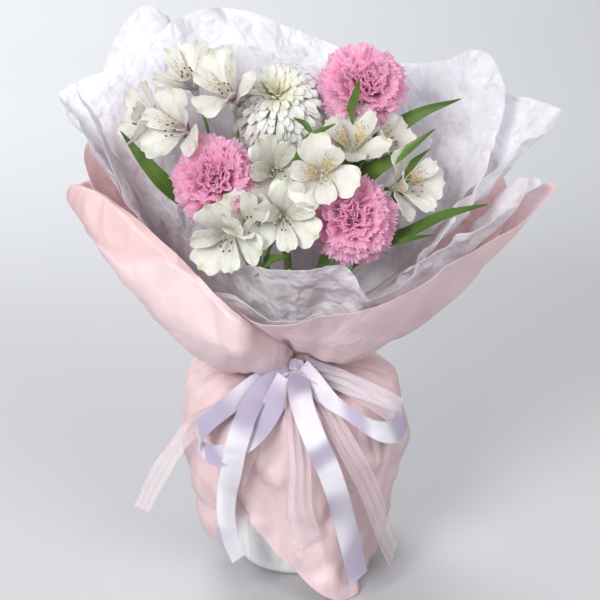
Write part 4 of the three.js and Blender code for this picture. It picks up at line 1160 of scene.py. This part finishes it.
def tepal_surface(turn, width, share, first, last, opening, phase):
    """One tepal of an alstroemeria: spoon-shaped with a small point, arching outwards, its edges
    waved."""
    out, side = outwards(turn)
    reach = TEPAL_LENGTH * share

    def surface(u, v):
        across = 2 * u - 1
        half = width / 2 * (0.12 + 1.62 * v**1.5 * np.maximum(1.03 - v, 0) ** 0.36)
        far = reach * v * (1 + 0.07 * np.exp(-(across / 0.2) ** 2) * v**6)
        direction, normal = arch(out, first * opening, last * opening, v)
        cup = 0.2 * half * across**2 - 0.06 * half * np.exp(-(across / 0.16) ** 2)
        edge = np.abs(across) ** 1.5
        flutter = 0.16 * half * edge * np.sin(v * 7 + phase + np.sign(across) * 1.3) * v
        flutter = flutter + 0.07 * half * edge * np.sin(v * 19 + across * 9 + phase * 2) * v
        curl = 0.12 * half * np.sin(across * 2.4 + phase) * v**2
        drift = 0.07 * reach * v**2 * math.sin(phase * 3)
        return (UP * 3 + out + direction * far[:, None] + side * (across * half + drift)[:, None]
                + normal * (cup + flutter + curl)[:, None])

    return surface


def make_alstroemeria(name, bloom, seed, blank, look, materials):
    """One bloom: six tepals, its throat, six stamens with their anthers, and the pistil."""
    *facing, opening = bloom
    draw = np.random.default_rng(seed)
    seat = facing_frame(*facing)
    tepals = []
    for turn, width, share, first, last, marked in TEPALS:
        surface = tepal_surface(turn + draw.uniform(-4, 4), width, share * draw.uniform(0.97, 1.02),
                                first, last, opening * draw.uniform(0.95, 1.05), draw.random() * 6)
        tepals.append(bend(blank, surface, look.petal_thickness / MM, seat=seat, tint=marked))
    throat = tube(placed(np.array([(0, 0, 0), (0, 0, 2), (0, 0, 5), (0, 0, 8)]), seat),
                  [2.2, 2.9, 3.6, 3.9], 12, 0.0)
    petals = joined("tepals", [*tepals, throat])
    paint(petals, materials[0])
    threads, tips = [], []
    for k in range(6):
        out, _ = outwards(60 * k + draw.uniform(-9, 9))
        bow, along = draw.uniform(4, 7) * opening, np.linspace(0, 1, 7)
        line = np.outer(np.sin(along * 2.1) * bow, out) + np.outer(4 + 24 * along, UP)
        line[:, 1] -= 3.5 * along**2
        line = placed(line, seat)
        threads.append(tube(line, np.linspace(0.5, 0.3, 7), 4))
        tips.append(bead(line[-1], (1.5, 1.5, 3.8), line[-1] - line[-2]))
    pistil = placed(np.array([(0, 0, 4), (0.3, -0.5, 14), (0.2, -1.5, 24)]), seat)
    threads.append(tube(pistil, [0.7, 0.5, 0.4], 4))
    threads, tips = joined("threads", threads), joined("tips", tips)
    paint(threads, materials[1])
    paint(tips, materials[2])
    return dress(joined(name, [tips, threads, petals]), name)


# ------------------------------------------------------------------ greens
def leaf_surface(points, width, twist):
    """A lance-shaped leaf along its points, folded a little along the midrib."""
    def surface(u, v):
        p, along = path(points, v)
        flat = unit(np.cross(np.broadcast_to((0, -0.6, 0.8), along.shape), along))
        angle = np.radians(twist * v)[:, None]
        flat = flat * np.cos(angle) + np.cross(along, flat) * np.sin(angle)
        normal = np.cross(along, flat)
        across = 2 * u - 1
        shape = np.sin(math.pi * np.minimum(v * 0.96 + 0.02, 1) ** 0.8)
        half = width / 2 * np.maximum(0.05, shape)
        wave = 0.06 * half * np.sin(v * 14 + across)
        fold = 0.18 * half * np.sqrt(across**2 + 0.01) + wave * np.abs(across)
        return p + flat * (across * half)[:, None] + normal * fold[:, None]

    return surface


def stem_line(place, via):
    """A stem from the vase's floor, through its place in the tie, and on through its points."""
    r = 0 if place is None else STEM_RING
    x, y = r * math.cos(math.radians(place or 0)), r * math.sin(math.radians(place or 0))
    foot = (x * STEM_SPREAD, y * STEM_SPREAD, VASE["floor"] + 1.6)
    low = np.linspace(foot, (x, y, WAIST - 8), 6)
    high = through_points([(x, y, WAIST - 8), (x, y, WAIST + 11), *via], np.linspace(0, 1, 22))
    return np.concatenate([low[:-1], high])


def behind(seat, *distances):
    """Points behind a head, by their distance below its middle."""
    return [tuple(seat[3] - seat[2] * d) for d in distances]


def nodes_along(line, radius):
    """Radii that swell a little at the stem's joints."""
    bump = np.zeros(len(line))
    bump[[5, 13, 20]] = 0.22 * radius
    return radius + bump


def make_stem(node, flower, radius, gaps, cup, material):
    """A flower's stem, through points that lie these gaps behind its head, and the cup under the
    head, with its (r, z) from the head's middle."""
    place, via, head = flower
    seat = facing_frame(**head)
    line = stem_line(place, [*via, *behind(seat, *gaps)])
    radii, heights = zip(*cup)
    holder = tube(placed(np.outer(heights, UP), seat), radii, 16)
    stem = tube(line, nodes_along(line, radius), 12)
    return dress(joined("stem", [stem, holder]), node, material)


# ------------------------------------------------------------------ sheets
def sheet_surface(level, wave, stations, down=False):
    """The surface of one sheet from its upright stretch at the tie to its free edge."""
    r0 = INNER_SHEET_R + LAYER_PITCH * level
    start, end, step = SKIRT_PINCH if down else COLLAR_PINCH
    pinch = [(r0, start), (r0 + 0.3, end + step * level)]
    angles = np.array([s[0] for s in stations], float)
    table = np.array([[*pinch, *s[1:]] for s in stations], float)
    rows = np.arange(table.shape[1])
    reach = np.linalg.norm(np.diff(table, axis=1), axis=2).mean(axis=0)
    along = np.concatenate([[0], np.cumsum(reach)]) / reach.sum()

    def surface(u, v):
        angle = angles[0] + (angles[-1] - angles[0]) * u
        row = np.interp(v, along, rows)
        at = [[smooth_through(angles, table[:, k, axis], angle) for k in rows] for axis in (0, 1)]
        r, z = (smooth_through(rows, columns, row) for columns in at)
        share = row / rows[-1]
        swell = wave[0] * share**3 * np.sin(np.radians(angle) * wave[1] + wave[2])
        a, r = np.radians(angle), r + swell
        return np.stack([r * np.sin(a), -r * np.cos(a), z + swell * 0.4], axis=1)

    return surface


def round_tie(points):
    """Each point's angle round the bouquet from the front, and its distance from the axis."""
    x, y, _ = points.T
    return np.arctan2(x, -y), np.hypot(x, y)


def crumples(points, patterns):
    """The patterns of creases laid over each other."""
    return sum(share * creases(points + shift, size, seed)
               for share, size, seed, shift in patterns)


def pleats(points, height):
    """Folds that run out from the tie, the same for every sheet, so that they stay nested."""
    angle, r = round_tie(points)
    fold = np.sin(angle * 13 + 1.4 * np.sin(angle * 5)) + 0.5 * np.sin(angle * 29 + 2)
    return height * fold * np.exp(-(((r - PLEAT_R) / PLEAT_SPREAD) ** 2))


def away_from_tie(points):
    """0 at the tie, 1 well away from it."""
    return np.clip((round_tie(points)[1] - FLAT_R) / CREASE_RISE, 0, 1) ** 1.2


def tissue_relief(height):
    """Crumples that grow away from the tie."""
    def relief(u, v, points):
        rough = crumples(points, TISSUE_CREASES)
        held_in = rough - 0.65 * np.maximum(rough - 0.15, 0)  # the paper outside presses on it
        return pleats(points, 0.8) + away_from_tie(points) * height * held_in

    return relief


def paper_relief(height):
    """Long soft folds and a few sharp creases in the stiffer paper."""
    def relief(u, v, points):
        angle, _ = round_tie(points)
        long_folds = np.abs(np.sin(angle * 3.5 + 0.8 + points[:, 2] / 150))
        sharp, soft = crumples(points, PAPER_CREASES), soft_noise(points, 62, 8)
        return pleats(points, 1.1) + away_from_tie(points) * height * (
            0.8 * sharp + 0.3 * soft + 0.9 * long_folds - 0.6)

    return relief


def skirt_relief(height):
    """Folds that fall from the skirt's shoulder, with a few sharp creases across them."""
    def relief(u, v, points):
        angle, z = round_tie(points)[0], points[:, 2]
        fall = np.clip((SHOULDER_Z - z) / CREASE_RISE, 0, 1)
        folds = np.arcsin(np.sin(angle * 7 + 1.5 * np.sin(angle * 3 + z / 45) + 1))
        sharp = crumples(points * (1, 1, 0.6), SKIRT_CREASES)
        return pleats(points, 1.5) + fall * (height * (0.38 * folds + 1.4 * sharp) - 2.5)

    return relief


def flat_size(surface):
    """The size a sheet was cut to, in metres: width along its rim, mean length, and area."""
    n = 60
    u, v = (a.ravel() for a in np.meshgrid(np.linspace(0, 1, n), np.linspace(0, 1, n)))
    grid = (surface(u, v) * MM).reshape(n, n, 3)
    wide = np.linalg.norm(np.diff(grid, axis=1), axis=2).sum(axis=1).max()
    high = np.linalg.norm(np.diff(grid, axis=0), axis=2).sum(axis=0).mean()
    a, b = grid[1:, :-1] - grid[:-1, :-1], grid[:-1, 1:] - grid[:-1, :-1]
    area = np.linalg.norm(np.cross(a, b), axis=2).sum()
    return (round(float(wide), 3), round(float(high), 3)), round(float(area), 4)


def second_ply(u, v):
    """1 where the left wrap is turned over into a second ply, 0 in its single outer part. The
    ply's edge crosses the sheet aslant."""
    edge = 0.44 + 1.33 * (v - 0.85)
    return np.clip((u - edge) / 0.008, 0, 1)


def make_sheets(sheets, look, relief, material, down=False):
    """Every sheet of a kind. The size each was cut to is worked out and not used."""
    blank = slab(*CELLS["sheet"])
    for name, (level, wave, stations) in sheets.items():
        surface = sheet_surface(level, wave, stations, down)
        # the tint paints a pink sheet's light: low values a deeper salmon standing for backlight,
        # high ones a paler lit pink
        rise, tint = relief, PAINTED_SHEET_LIGHT.get(name, 0.5)
        if name == "wrap_left":
            # partly real and partly painted: the turned-over second ply is paler pink, and the
            # single outer part is a deeper salmon painted as backlight
            tint = second_ply

            def rise(u, v, points):
                return relief(u, v, points) + PLY_STEP * second_ply(u, v)

        piece = bend(blank, surface, look.thickness / MM, rise, tint=tint)
        piece.name = piece.data.name = name + "_sheet"
        dress(piece, name, material, 70)
        size, area = flat_size(surface)
    discard(blank)


# ------------------------------------------------------------------ ribbons
def on_drape(route):
    """Points (x, z, lift) on the front of the bouquet."""
    x, z, lift = np.array(route, float).T
    stations, radii = zip(*DRAPE)
    r = smooth_through(stations, radii, z) + lift
    return np.stack([x, -np.sqrt(r * r - x * x), z], axis=1)


def ribbon_surface(route, width, across=None, cup=0.0, slant=0.0, gather=0.0, sway=0.0,
                   phase=0.0):
    """A ribbon along its route. It lies flat on the paper, and a loop turns over in the
    direction across. cup hollows it, slant cuts its end at an angle, gather draws it together
    in lengthwise folds and sway makes it rise and fall."""
    points = on_drape(route)

    def surface(u, v):
        v = v * (1 - slant * u)
        p, along = path(points, v)
        flat = unit(np.cross(unit(p * (1, 1, 0)), along))
        if across:
            turned = np.clip(np.sin(math.pi * v) * 1.7, 0, 1)[:, None] ** 1.4
            same = np.sign(flat @ np.array(across))[:, None]
            flat = unit(flat * same * (1 - turned) + np.array(across) * turned)
        up = np.cross(along, flat)
        p = p + up * (sway * np.sin(v * 10 + phase) * np.minimum(v * 5, 1) * (1 - v))[:, None]
        side = 2 * u - 1
        loose = np.minimum(v * 1.2, 1)
        uneven = 0.8 + 0.2 * np.sin(side * 17)
        folds = 1 + np.sin(side * 8.5 + phase + 2.2 * np.sin(v * 3 + phase)) * uneven
        depth = np.minimum(0.25 + v * 4, 1) * (1 - 0.6 * loose)
        rise = cup * (side**2 - 0.4) + gather * folds * depth
        half = width / 2 * (1 - gather * (0.24 - 0.2 * loose))
        return p + flat * (side * half)[:, None] - up * rise[:, None]

    return surface


def knot_surface(above, width, high, deep):
    """The short turn of ribbon that holds a bow's middle, gathered into folds, above the tie."""
    def surface(u, v):
        side, turn = 2 * u - 1, v * math.tau
        pinch = 1 - 0.22 * side**2
        fold = 0.35 * np.sin(side * 9 + 0.6 * np.sin(turn))
        y = -(deep * pinch + fold) * np.cos(turn)
        z = (high * pinch + fold) * np.sin(turn)
        x = side * width / 2 * (1 + 0.1 * np.cos(turn))
        return np.stack([x, y, z], axis=1) + (0, -TIE_R - 3, WAIST + above)

    return surface


def band_surface(low, high):
    """The ribbon's turn round the tied waist."""
    def surface(u, v):
        a, z = v * math.tau, low + (high - low) * u
        radius = TIE_R + 0.25 * np.sin(u * 9)
        return np.stack([-radius * np.sin(a), radius * np.cos(a), z], axis=1)

    return surface


def make_bow(ribbon, parts, material):
    """One ribbon of its parts."""
    piece = dress(joined(ribbon + "_bow", parts), ribbon + "_ribbon", material)


# ------------------------------------------------------------------ operators
class BOUQUET_OT_camera(bpy.types.Operator):
    """Sets up the camera that looks down on the bouquet from the front"""

    bl_idname = "bouquet.camera"
    bl_label = "Camera"

    def execute(self, context):
        look = context.scene.studio
        angle = math.radians(look.elevation)
        away = Vector((0, -math.cos(angle), math.sin(angle))) * CAMERA["distance"]
        place = Vector(CAMERA["target"]) + away
        bpy.ops.object.camera_add(location=place, rotation=(math.pi / 2 - angle, 0, 0))
        camera = context.object
        camera.data.lens, camera.data.sensor_width = CAMERA["lens"], CAMERA["sensor"]
        context.scene.camera = camera
        context.scene.view_settings.view_transform = "Standard"
        return {"FINISHED"}


class BOUQUET_OT_stage(bpy.types.Operator):
    """Lays the pale floor with its rising backdrop and hangs the soft lights"""

    bl_idname = "bouquet.stage"
    bl_label = "Stage"

    def execute(self, context):
        look = context.scene.studio
        deselect()
        bpy.ops.mesh.primitive_plane_add(
            size=BACKDROP["width"], location=(0, -BACKDROP["forward"], 0))
        floor = settle(context.object)
        floor.name = "floor"

        def pick_back_edge():
            """Selects the floor's back edge alone and opens the floor for editing."""
            for edge in floor.data.edges:
                ends = [floor.data.vertices[v].co for v in edge.vertices]
                edge.select = all(e.y > 1 and e.z < 0.1 for e in ends)
            bpy.ops.object.mode_set(mode="EDIT")

        pick_back_edge()
        bpy.ops.mesh.select_mode(type="EDGE")
        bpy.ops.mesh.extrude_region_move(
            TRANSFORM_OT_translate={"value": (0, 0, BACKDROP["height"])})
        bpy.ops.object.mode_set(mode="OBJECT")
        pick_back_edge()
        bpy.ops.mesh.bevel(offset=BACKDROP["sweep"], segments=16, affect="EDGES")
        bpy.ops.object.mode_set(mode="OBJECT")
        bpy.ops.object.shade_smooth()
        material, tree = new_material("Pale floor")
        base = mottle(tree, places(tree), look.floor, 3.0, 0.03)
        surface_of(tree, base, roughness=0.5)
        paint(floor, material)
        for name, setting, share, place, size, aim in LAMPS:
            bpy.ops.object.light_add(type="AREA", location=place)
            lamp = context.object
            lamp.name = name
            lamp.data.energy, lamp.data.size = getattr(look, setting) * share, size
            beam = Vector(aim) - Vector(place)
            lamp.rotation_euler = beam.to_track_quat("-Z", "Y").to_euler()
        world = bpy.data.worlds.new("Studio")
        context.scene.world = world
        world.use_nodes = True
        for socket, value in zip(world.node_tree.nodes["Background"].inputs, SKY):
            socket.default_value = value
        return {"FINISHED"}


class BOUQUET_OT_vase(bpy.types.Operator):
    """Turns the white vase and presses its flutes"""

    bl_idname = "bouquet.vase"
    bl_label = "Vase"

    def execute(self, context):
        look = context.scene.vase
        height, foot, belly, belly_z, floor, wall = VASE.values()
        hip = foot + 5
        side = [(hip + (belly - hip) * math.sin(t * math.pi / 2), 7 + (belly_z - 7) * t)
                for t in np.linspace(0, 1, 12)]
        outer = [(0, 2.2), (foot - 7, 2.2), (foot - 5, 0), (foot - 1, 0), (foot + 1, 1),
                 (foot + 3.4, 3.8), *side, (belly, 70), (belly, 100), (belly, 130)]
        lip = [(belly, height - 3), (belly - 0.3, height - 1), (belly - 1.2, height),
               (belly - 2.4, height), (belly - wall + 0.3, height - 1), (belly - wall, height - 3)]
        inner = [(belly - wall, 100), (belly - wall, belly_z), (foot + 1, 20),
                 (foot - wall, floor + 3), (foot - wall - 4, floor + 0.4), (0, floor)]
        piece = lathe([*outer, *lip, *inner], 180, "vase_body")
        mesh = piece.data
        depth = look.flute_depth / MM
        for vertex in mesh.vertices:
            x, y, z = vertex.co / MM
            r = math.hypot(x, y)
            fade = min(max((z - 5) / 5, 0), 1) * min(max((height - 4 - z) / 8, 0), 1)
            if r < belly - wall + 0.4 or not fade:
                continue
            groove = abs(math.cos(math.atan2(y, x) * look.flutes / 2)) ** 0.8
            scale = 1 - depth * fade * (1 - groove) / r
            vertex.co.x, vertex.co.y = x * scale * MM, y * scale * MM
        dress(piece, "vase", glaze_material(look), 40)
        return {"FINISHED"}


class BOUQUET_OT_water(bpy.types.Operator):
    """Fills the vase with water round the stems"""

    bl_idname = "bouquet.water"
    bl_label = "Water"

    def execute(self, context):
        high = VASE["belly"] - VASE["wall"] - 0.6
        low = VASE["foot"] - VASE["wall"] - 0.6
        floor, top = VASE["floor"], WATER_TOP
        profile = [(0, floor + 0.4), (low - 4, floor + 0.9), (low, 12), (low + 2, 21),
                   (high, VASE["belly_z"]), (high, 80), (high, top), (high - 1, top - 0.7),
                   (high - 3, top - 1), (0, top - 1)]
        piece = lathe(profile, 64, "water_body")
        drill = joined("drill", [
            tube(stem_line(place, via)[:7], STEM_HOLE_R, 12) for place, via in all_stems()])
        apply_modifier(piece, "BOOLEAN", object=drill, operation="DIFFERENCE", solver="EXACT",
                       use_self=True)
        discard(drill)
        keep_tint(piece.data, 0.5)
        dress(piece, "water", water_material(), 40)
        return {"FINISHED"}


def all_stems():
    """The place in the tie and the points of each stem."""
    return [flower[:2] for flower in [*CARNATIONS.values(), MUM, *SPRAYS.values()]]


class BOUQUET_OT_twine(bpy.types.Operator):
    """Winds the twine round the stems inside the paper"""

    bl_idname = "bouquet.twine"
    bl_label = "Twine"

    def execute(self, context):
        turns = []
        r, angle = TWINE["ring"], np.linspace(0, math.tau, 49)
        for low in TWINE["turns"]:
            rise = WAIST + low + TWINE["rise"] * np.sin(angle / 2)
            ring = np.stack([r * np.cos(angle), r * np.sin(angle), rise], axis=1)
            turns.append(tube(ring, TWINE["r"], 8))
        dress(joined("twine_turns", turns), "stem_twine", twine_material())
        return {"FINISHED"}


class BOUQUET_OT_carnations(bpy.types.Operator):
    """Makes the three carnation heads"""

    bl_idname = "bouquet.carnations"
    bl_label = "Carnations"

    def execute(self, context):
        look = context.scene.flowers
        blank, material = slab(*CELLS["petal"]), carnation_material(look)
        for k, (name, (*_, head)) in enumerate(CARNATIONS.items()):
            piece = make_carnation("carnation_" + name, head, 11 + 7 * k, blank, look, material)
            piece.name = f"carnation_{name}_head"
        discard(blank)
        return {"FINISHED"}


class BOUQUET_OT_chrysanthemum(bpy.types.Operator):
    """Makes the chrysanthemum head"""

    bl_idname = "bouquet.chrysanthemum"
    bl_label = "Chrysanthemum"

    def execute(self, context):
        look = context.scene.flowers
        blank = slab(*CELLS["floret"])
        core = bead(MUM[2]["at"], (2 * MUM_CORE_R - 4,) * 3, rings=(24, 16))
        piece = make_mum("chrysanthemum", MUM[2], look, blank, core, mum_material(look))
        piece.name = "chrysanthemum_head"
        discard(blank)
        return {"FINISHED"}


class BOUQUET_OT_alstroemeria(bpy.types.Operator):
    """Makes the alstroemeria blooms"""

    bl_idname = "bouquet.alstroemeria"
    bl_label = "Alstroemeria"

    def execute(self, context):
        look = context.scene.flowers
        blank = slab(*CELLS["tepal"])
        filament = anther_material("Filament", (0.80, 0.78, 0.66, 1))
        pollen = {
            "lilac": anther_material("Dark pollen", (0.10, 0.08, 0.07, 1)),
            "cream": anther_material("Tan pollen", (0.36, 0.24, 0.13, 1)),
        }
        pollen["green"] = pollen["lilac"]
        tepals = {kind: tepal_material(look, kind) for kind in TEPAL_FINISH}
        for number, (spray, (_, _, blooms, _, kind)) in enumerate(SPRAYS.items()):
            for k, bloom in enumerate(blooms):
                name = f"alstroemeria_{spray}_{k + 1}"
                piece = make_alstroemeria(name, bloom, 100 * number + k, blank, look,
                                          [tepals[kind], filament, pollen[kind]])
                piece.name = name + "_bloom"
        discard(blank)
        return {"FINISHED"}


class BOUQUET_OT_greens(bpy.types.Operator):
    """Makes the stems, the calyxes and the leaves"""

    bl_idname = "bouquet.greens"
    bl_label = "Stems and leaves"

    def execute(self, context):
        look = context.scene.flowers
        leaf, stem = leaf_material(look), stem_material(look)
        top, r = CALYX["top"], CALYX["r"]
        base = top - CALYX["length"]
        calyx = [(2.4, base), (3.6, base + 2), (4.8, base + 5), (r - 0.4, base + 11),
                 (r, top - 4), (r - 0.3, top)]
        for name, flower in CARNATIONS.items():
            piece = make_stem(f"carnation_stem_{name}", flower, CARNATION_STEM_R,
                              (12 - base, -2 - base), calyx, stem)
            piece.name = f"carnation_{name}_stem"
        r = MUM_CORE_R
        bracts = [(3.4, -r - 8), (6, -r - 6), (9, -r - 3), (10, -r - 0.5)]
        piece = make_stem("chrysanthemum_stem", MUM, MUM_STEM_R, (r + 16, r + 4), bracts, stem)
        piece.name = "chrysanthemum_stalk"
        blank = slab(*CELLS["leaf"])
        for name, (place, via, blooms, leaves, _) in SPRAYS.items():
            line = stem_line(place, via)
            stalks = [tube(line, nodes_along(line, SPRAY_STEM_R), 12)]
            whorl = np.array(via[-1], float)
            for *facing, _ in blooms:
                below, end = (np.array(p) for p in behind(facing_frame(*facing), 9, 0.2))
                rise = whorl + (below - whorl) * 0.55 + (0, 0, 2)
                way = through_points([whorl, rise, below, end], np.linspace(0, 1, 14))
                stalks.append(tube(way, np.linspace(1.3, 1.5, 14), 8))
            stalks = joined("stalks", stalks)
            paint(stalks, stem)
            parts = [stalks]
            for k, (points, width, twist) in enumerate(leaves):
                surface = leaf_surface(points, width, twist)
                parts.append(bend(blank, surface, THICK["leaf"], tint=k * 0.4))
                paint(parts[-1], leaf)
            piece = joined("spray", parts)
            dress(piece, f"alstroemeria_stem_{name}").name = f"alstroemeria_{name}_spray"
        discard(blank)
        return {"FINISHED"}


class BOUQUET_OT_tissue(bpy.types.Operator):
    """Lays the sheets of white tissue"""

    bl_idname = "bouquet.tissue"
    bl_label = "Tissue"

    def execute(self, context):
        look = context.scene.paper
        make_sheets(TISSUE, look, tissue_relief(look.crumple / MM), tissue_material(look))
        return {"FINISHED"}


class BOUQUET_OT_pink_paper(bpy.types.Operator):
    """Lays the pink paper collar and skirt"""

    bl_idname = "bouquet.pink_paper"
    bl_label = "Pink paper"

    def execute(self, context):
        look = context.scene.paper
        material = pink_paper_material(look)
        height = look.crease / MM
        make_sheets(COLLAR, look, paper_relief(height), material)
        make_sheets(SKIRT, look, skirt_relief(height), material, down=True)
        return {"FINISHED"}


class BOUQUET_OT_satin(bpy.types.Operator):
    """Ties the satin ribbon with its bow"""

    bl_idname = "bouquet.satin"
    bl_label = "Satin ribbon"

    def execute(self, context):
        look = context.scene.ribbon
        width = look.satin_width / MM
        strip, short = slab(*CELLS["satin"]), slab(*CELLS["knot"])
        # each strip's tint shifts where the satin's painted shade bands fall on it
        tails = [(ribbon_surface(route, width, cup=0.9, slant=slant, sway=2.5), tint)
                 for route, slant, tint in SATIN_TAILS]
        loops = [(ribbon_surface(route, width, across, cup=-0.6), tint)
                 for route, across, tint in SATIN_LOOPS]
        parts = [bend(strip, surface, THICK["satin"], tint=tint) for surface, tint in tails + loops]
        parts.append(bend(short, knot_surface(4, 13, 6, 4), THICK["satin knot"]))
        parts.append(bend(short, band_surface(WAIST - 1, WAIST + 6), THICK["satin band"]))
        make_bow("satin", parts, satin_material(look))
        discard(strip, short)
        return {"FINISHED"}


class BOUQUET_OT_organza(bpy.types.Operator):
    """Ties the sheer organza ribbon in below the satin"""

    bl_idname = "bouquet.organza"
    bl_label = "Organza ribbon"

    def execute(self, context):
        look = context.scene.ribbon
        width = look.organza_width / MM
        strip, short = slab(*CELLS["organza"]), slab(*CELLS["knot"])
        surfaces = [ribbon_surface(route, width, slant=0.06, gather=2.4, phase=k)
                    for k, route in enumerate(ORGANZA_STRIPS)]
        parts = [bend(strip, surface, THICK["organza"]) for surface in surfaces]
        parts.append(bend(short, knot_surface(-4, 11, 5, 3.4), THICK["organza knot"]))
        make_bow("organza", parts, organza_material(look))
        discard(strip, short)
        return {"FINISHED"}


OPERATORS = [
    BOUQUET_OT_camera, BOUQUET_OT_stage, BOUQUET_OT_vase, BOUQUET_OT_water, BOUQUET_OT_twine,
    BOUQUET_OT_greens, BOUQUET_OT_carnations, BOUQUET_OT_chrysanthemum, BOUQUET_OT_alstroemeria,
    BOUQUET_OT_satin, BOUQUET_OT_organza, BOUQUET_OT_tissue, BOUQUET_OT_pink_paper,
]
SETTINGS = {
    "flowers": FlowerSettings, "paper": PaperSettings, "ribbon": RibbonSettings,
    "vase": VaseSettings, "studio": StudioSettings,
}


class BOUQUET_PT_panel(bpy.types.Panel):
    """Lists the bouquet's settings and the operators that make its pieces"""

    bl_idname = "BOUQUET_PT_panel"
    bl_label = "Bouquet"
    bl_space_type = "VIEW_3D"
    bl_region_type = "UI"
    bl_category = "Bouquet"

    def draw(self, context):
        for name in SETTINGS:
            box = self.layout.box()
            box.label(text=name.title())
            group = getattr(context.scene, name)
            for key in group.__annotations__:
                box.prop(group, key)
        for operator in OPERATORS:
            self.layout.operator(operator.bl_idname)


def register():
    """Registers the settings, the operators and the panel."""
    for thing in [*SETTINGS.values(), *OPERATORS, BOUQUET_PT_panel]:
        bpy.utils.register_class(thing)
    for name, group in SETTINGS.items():
        setattr(bpy.types.Scene, name, bpy.props.PointerProperty(type=group))


def unregister():
    """Undoes register."""
    for name in SETTINGS:
        delattr(bpy.types.Scene, name)
    for thing in [BOUQUET_PT_panel, *OPERATORS, *SETTINGS.values()]:
        bpy.utils.unregister_class(thing)


def main():
    """Makes the whole bouquet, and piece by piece."""
    register()
    for operator in OPERATORS:
        family, name = operator.bl_idname.split(".")
        getattr(getattr(bpy.ops, family), name)()


if __name__ == "__main__":
    main()
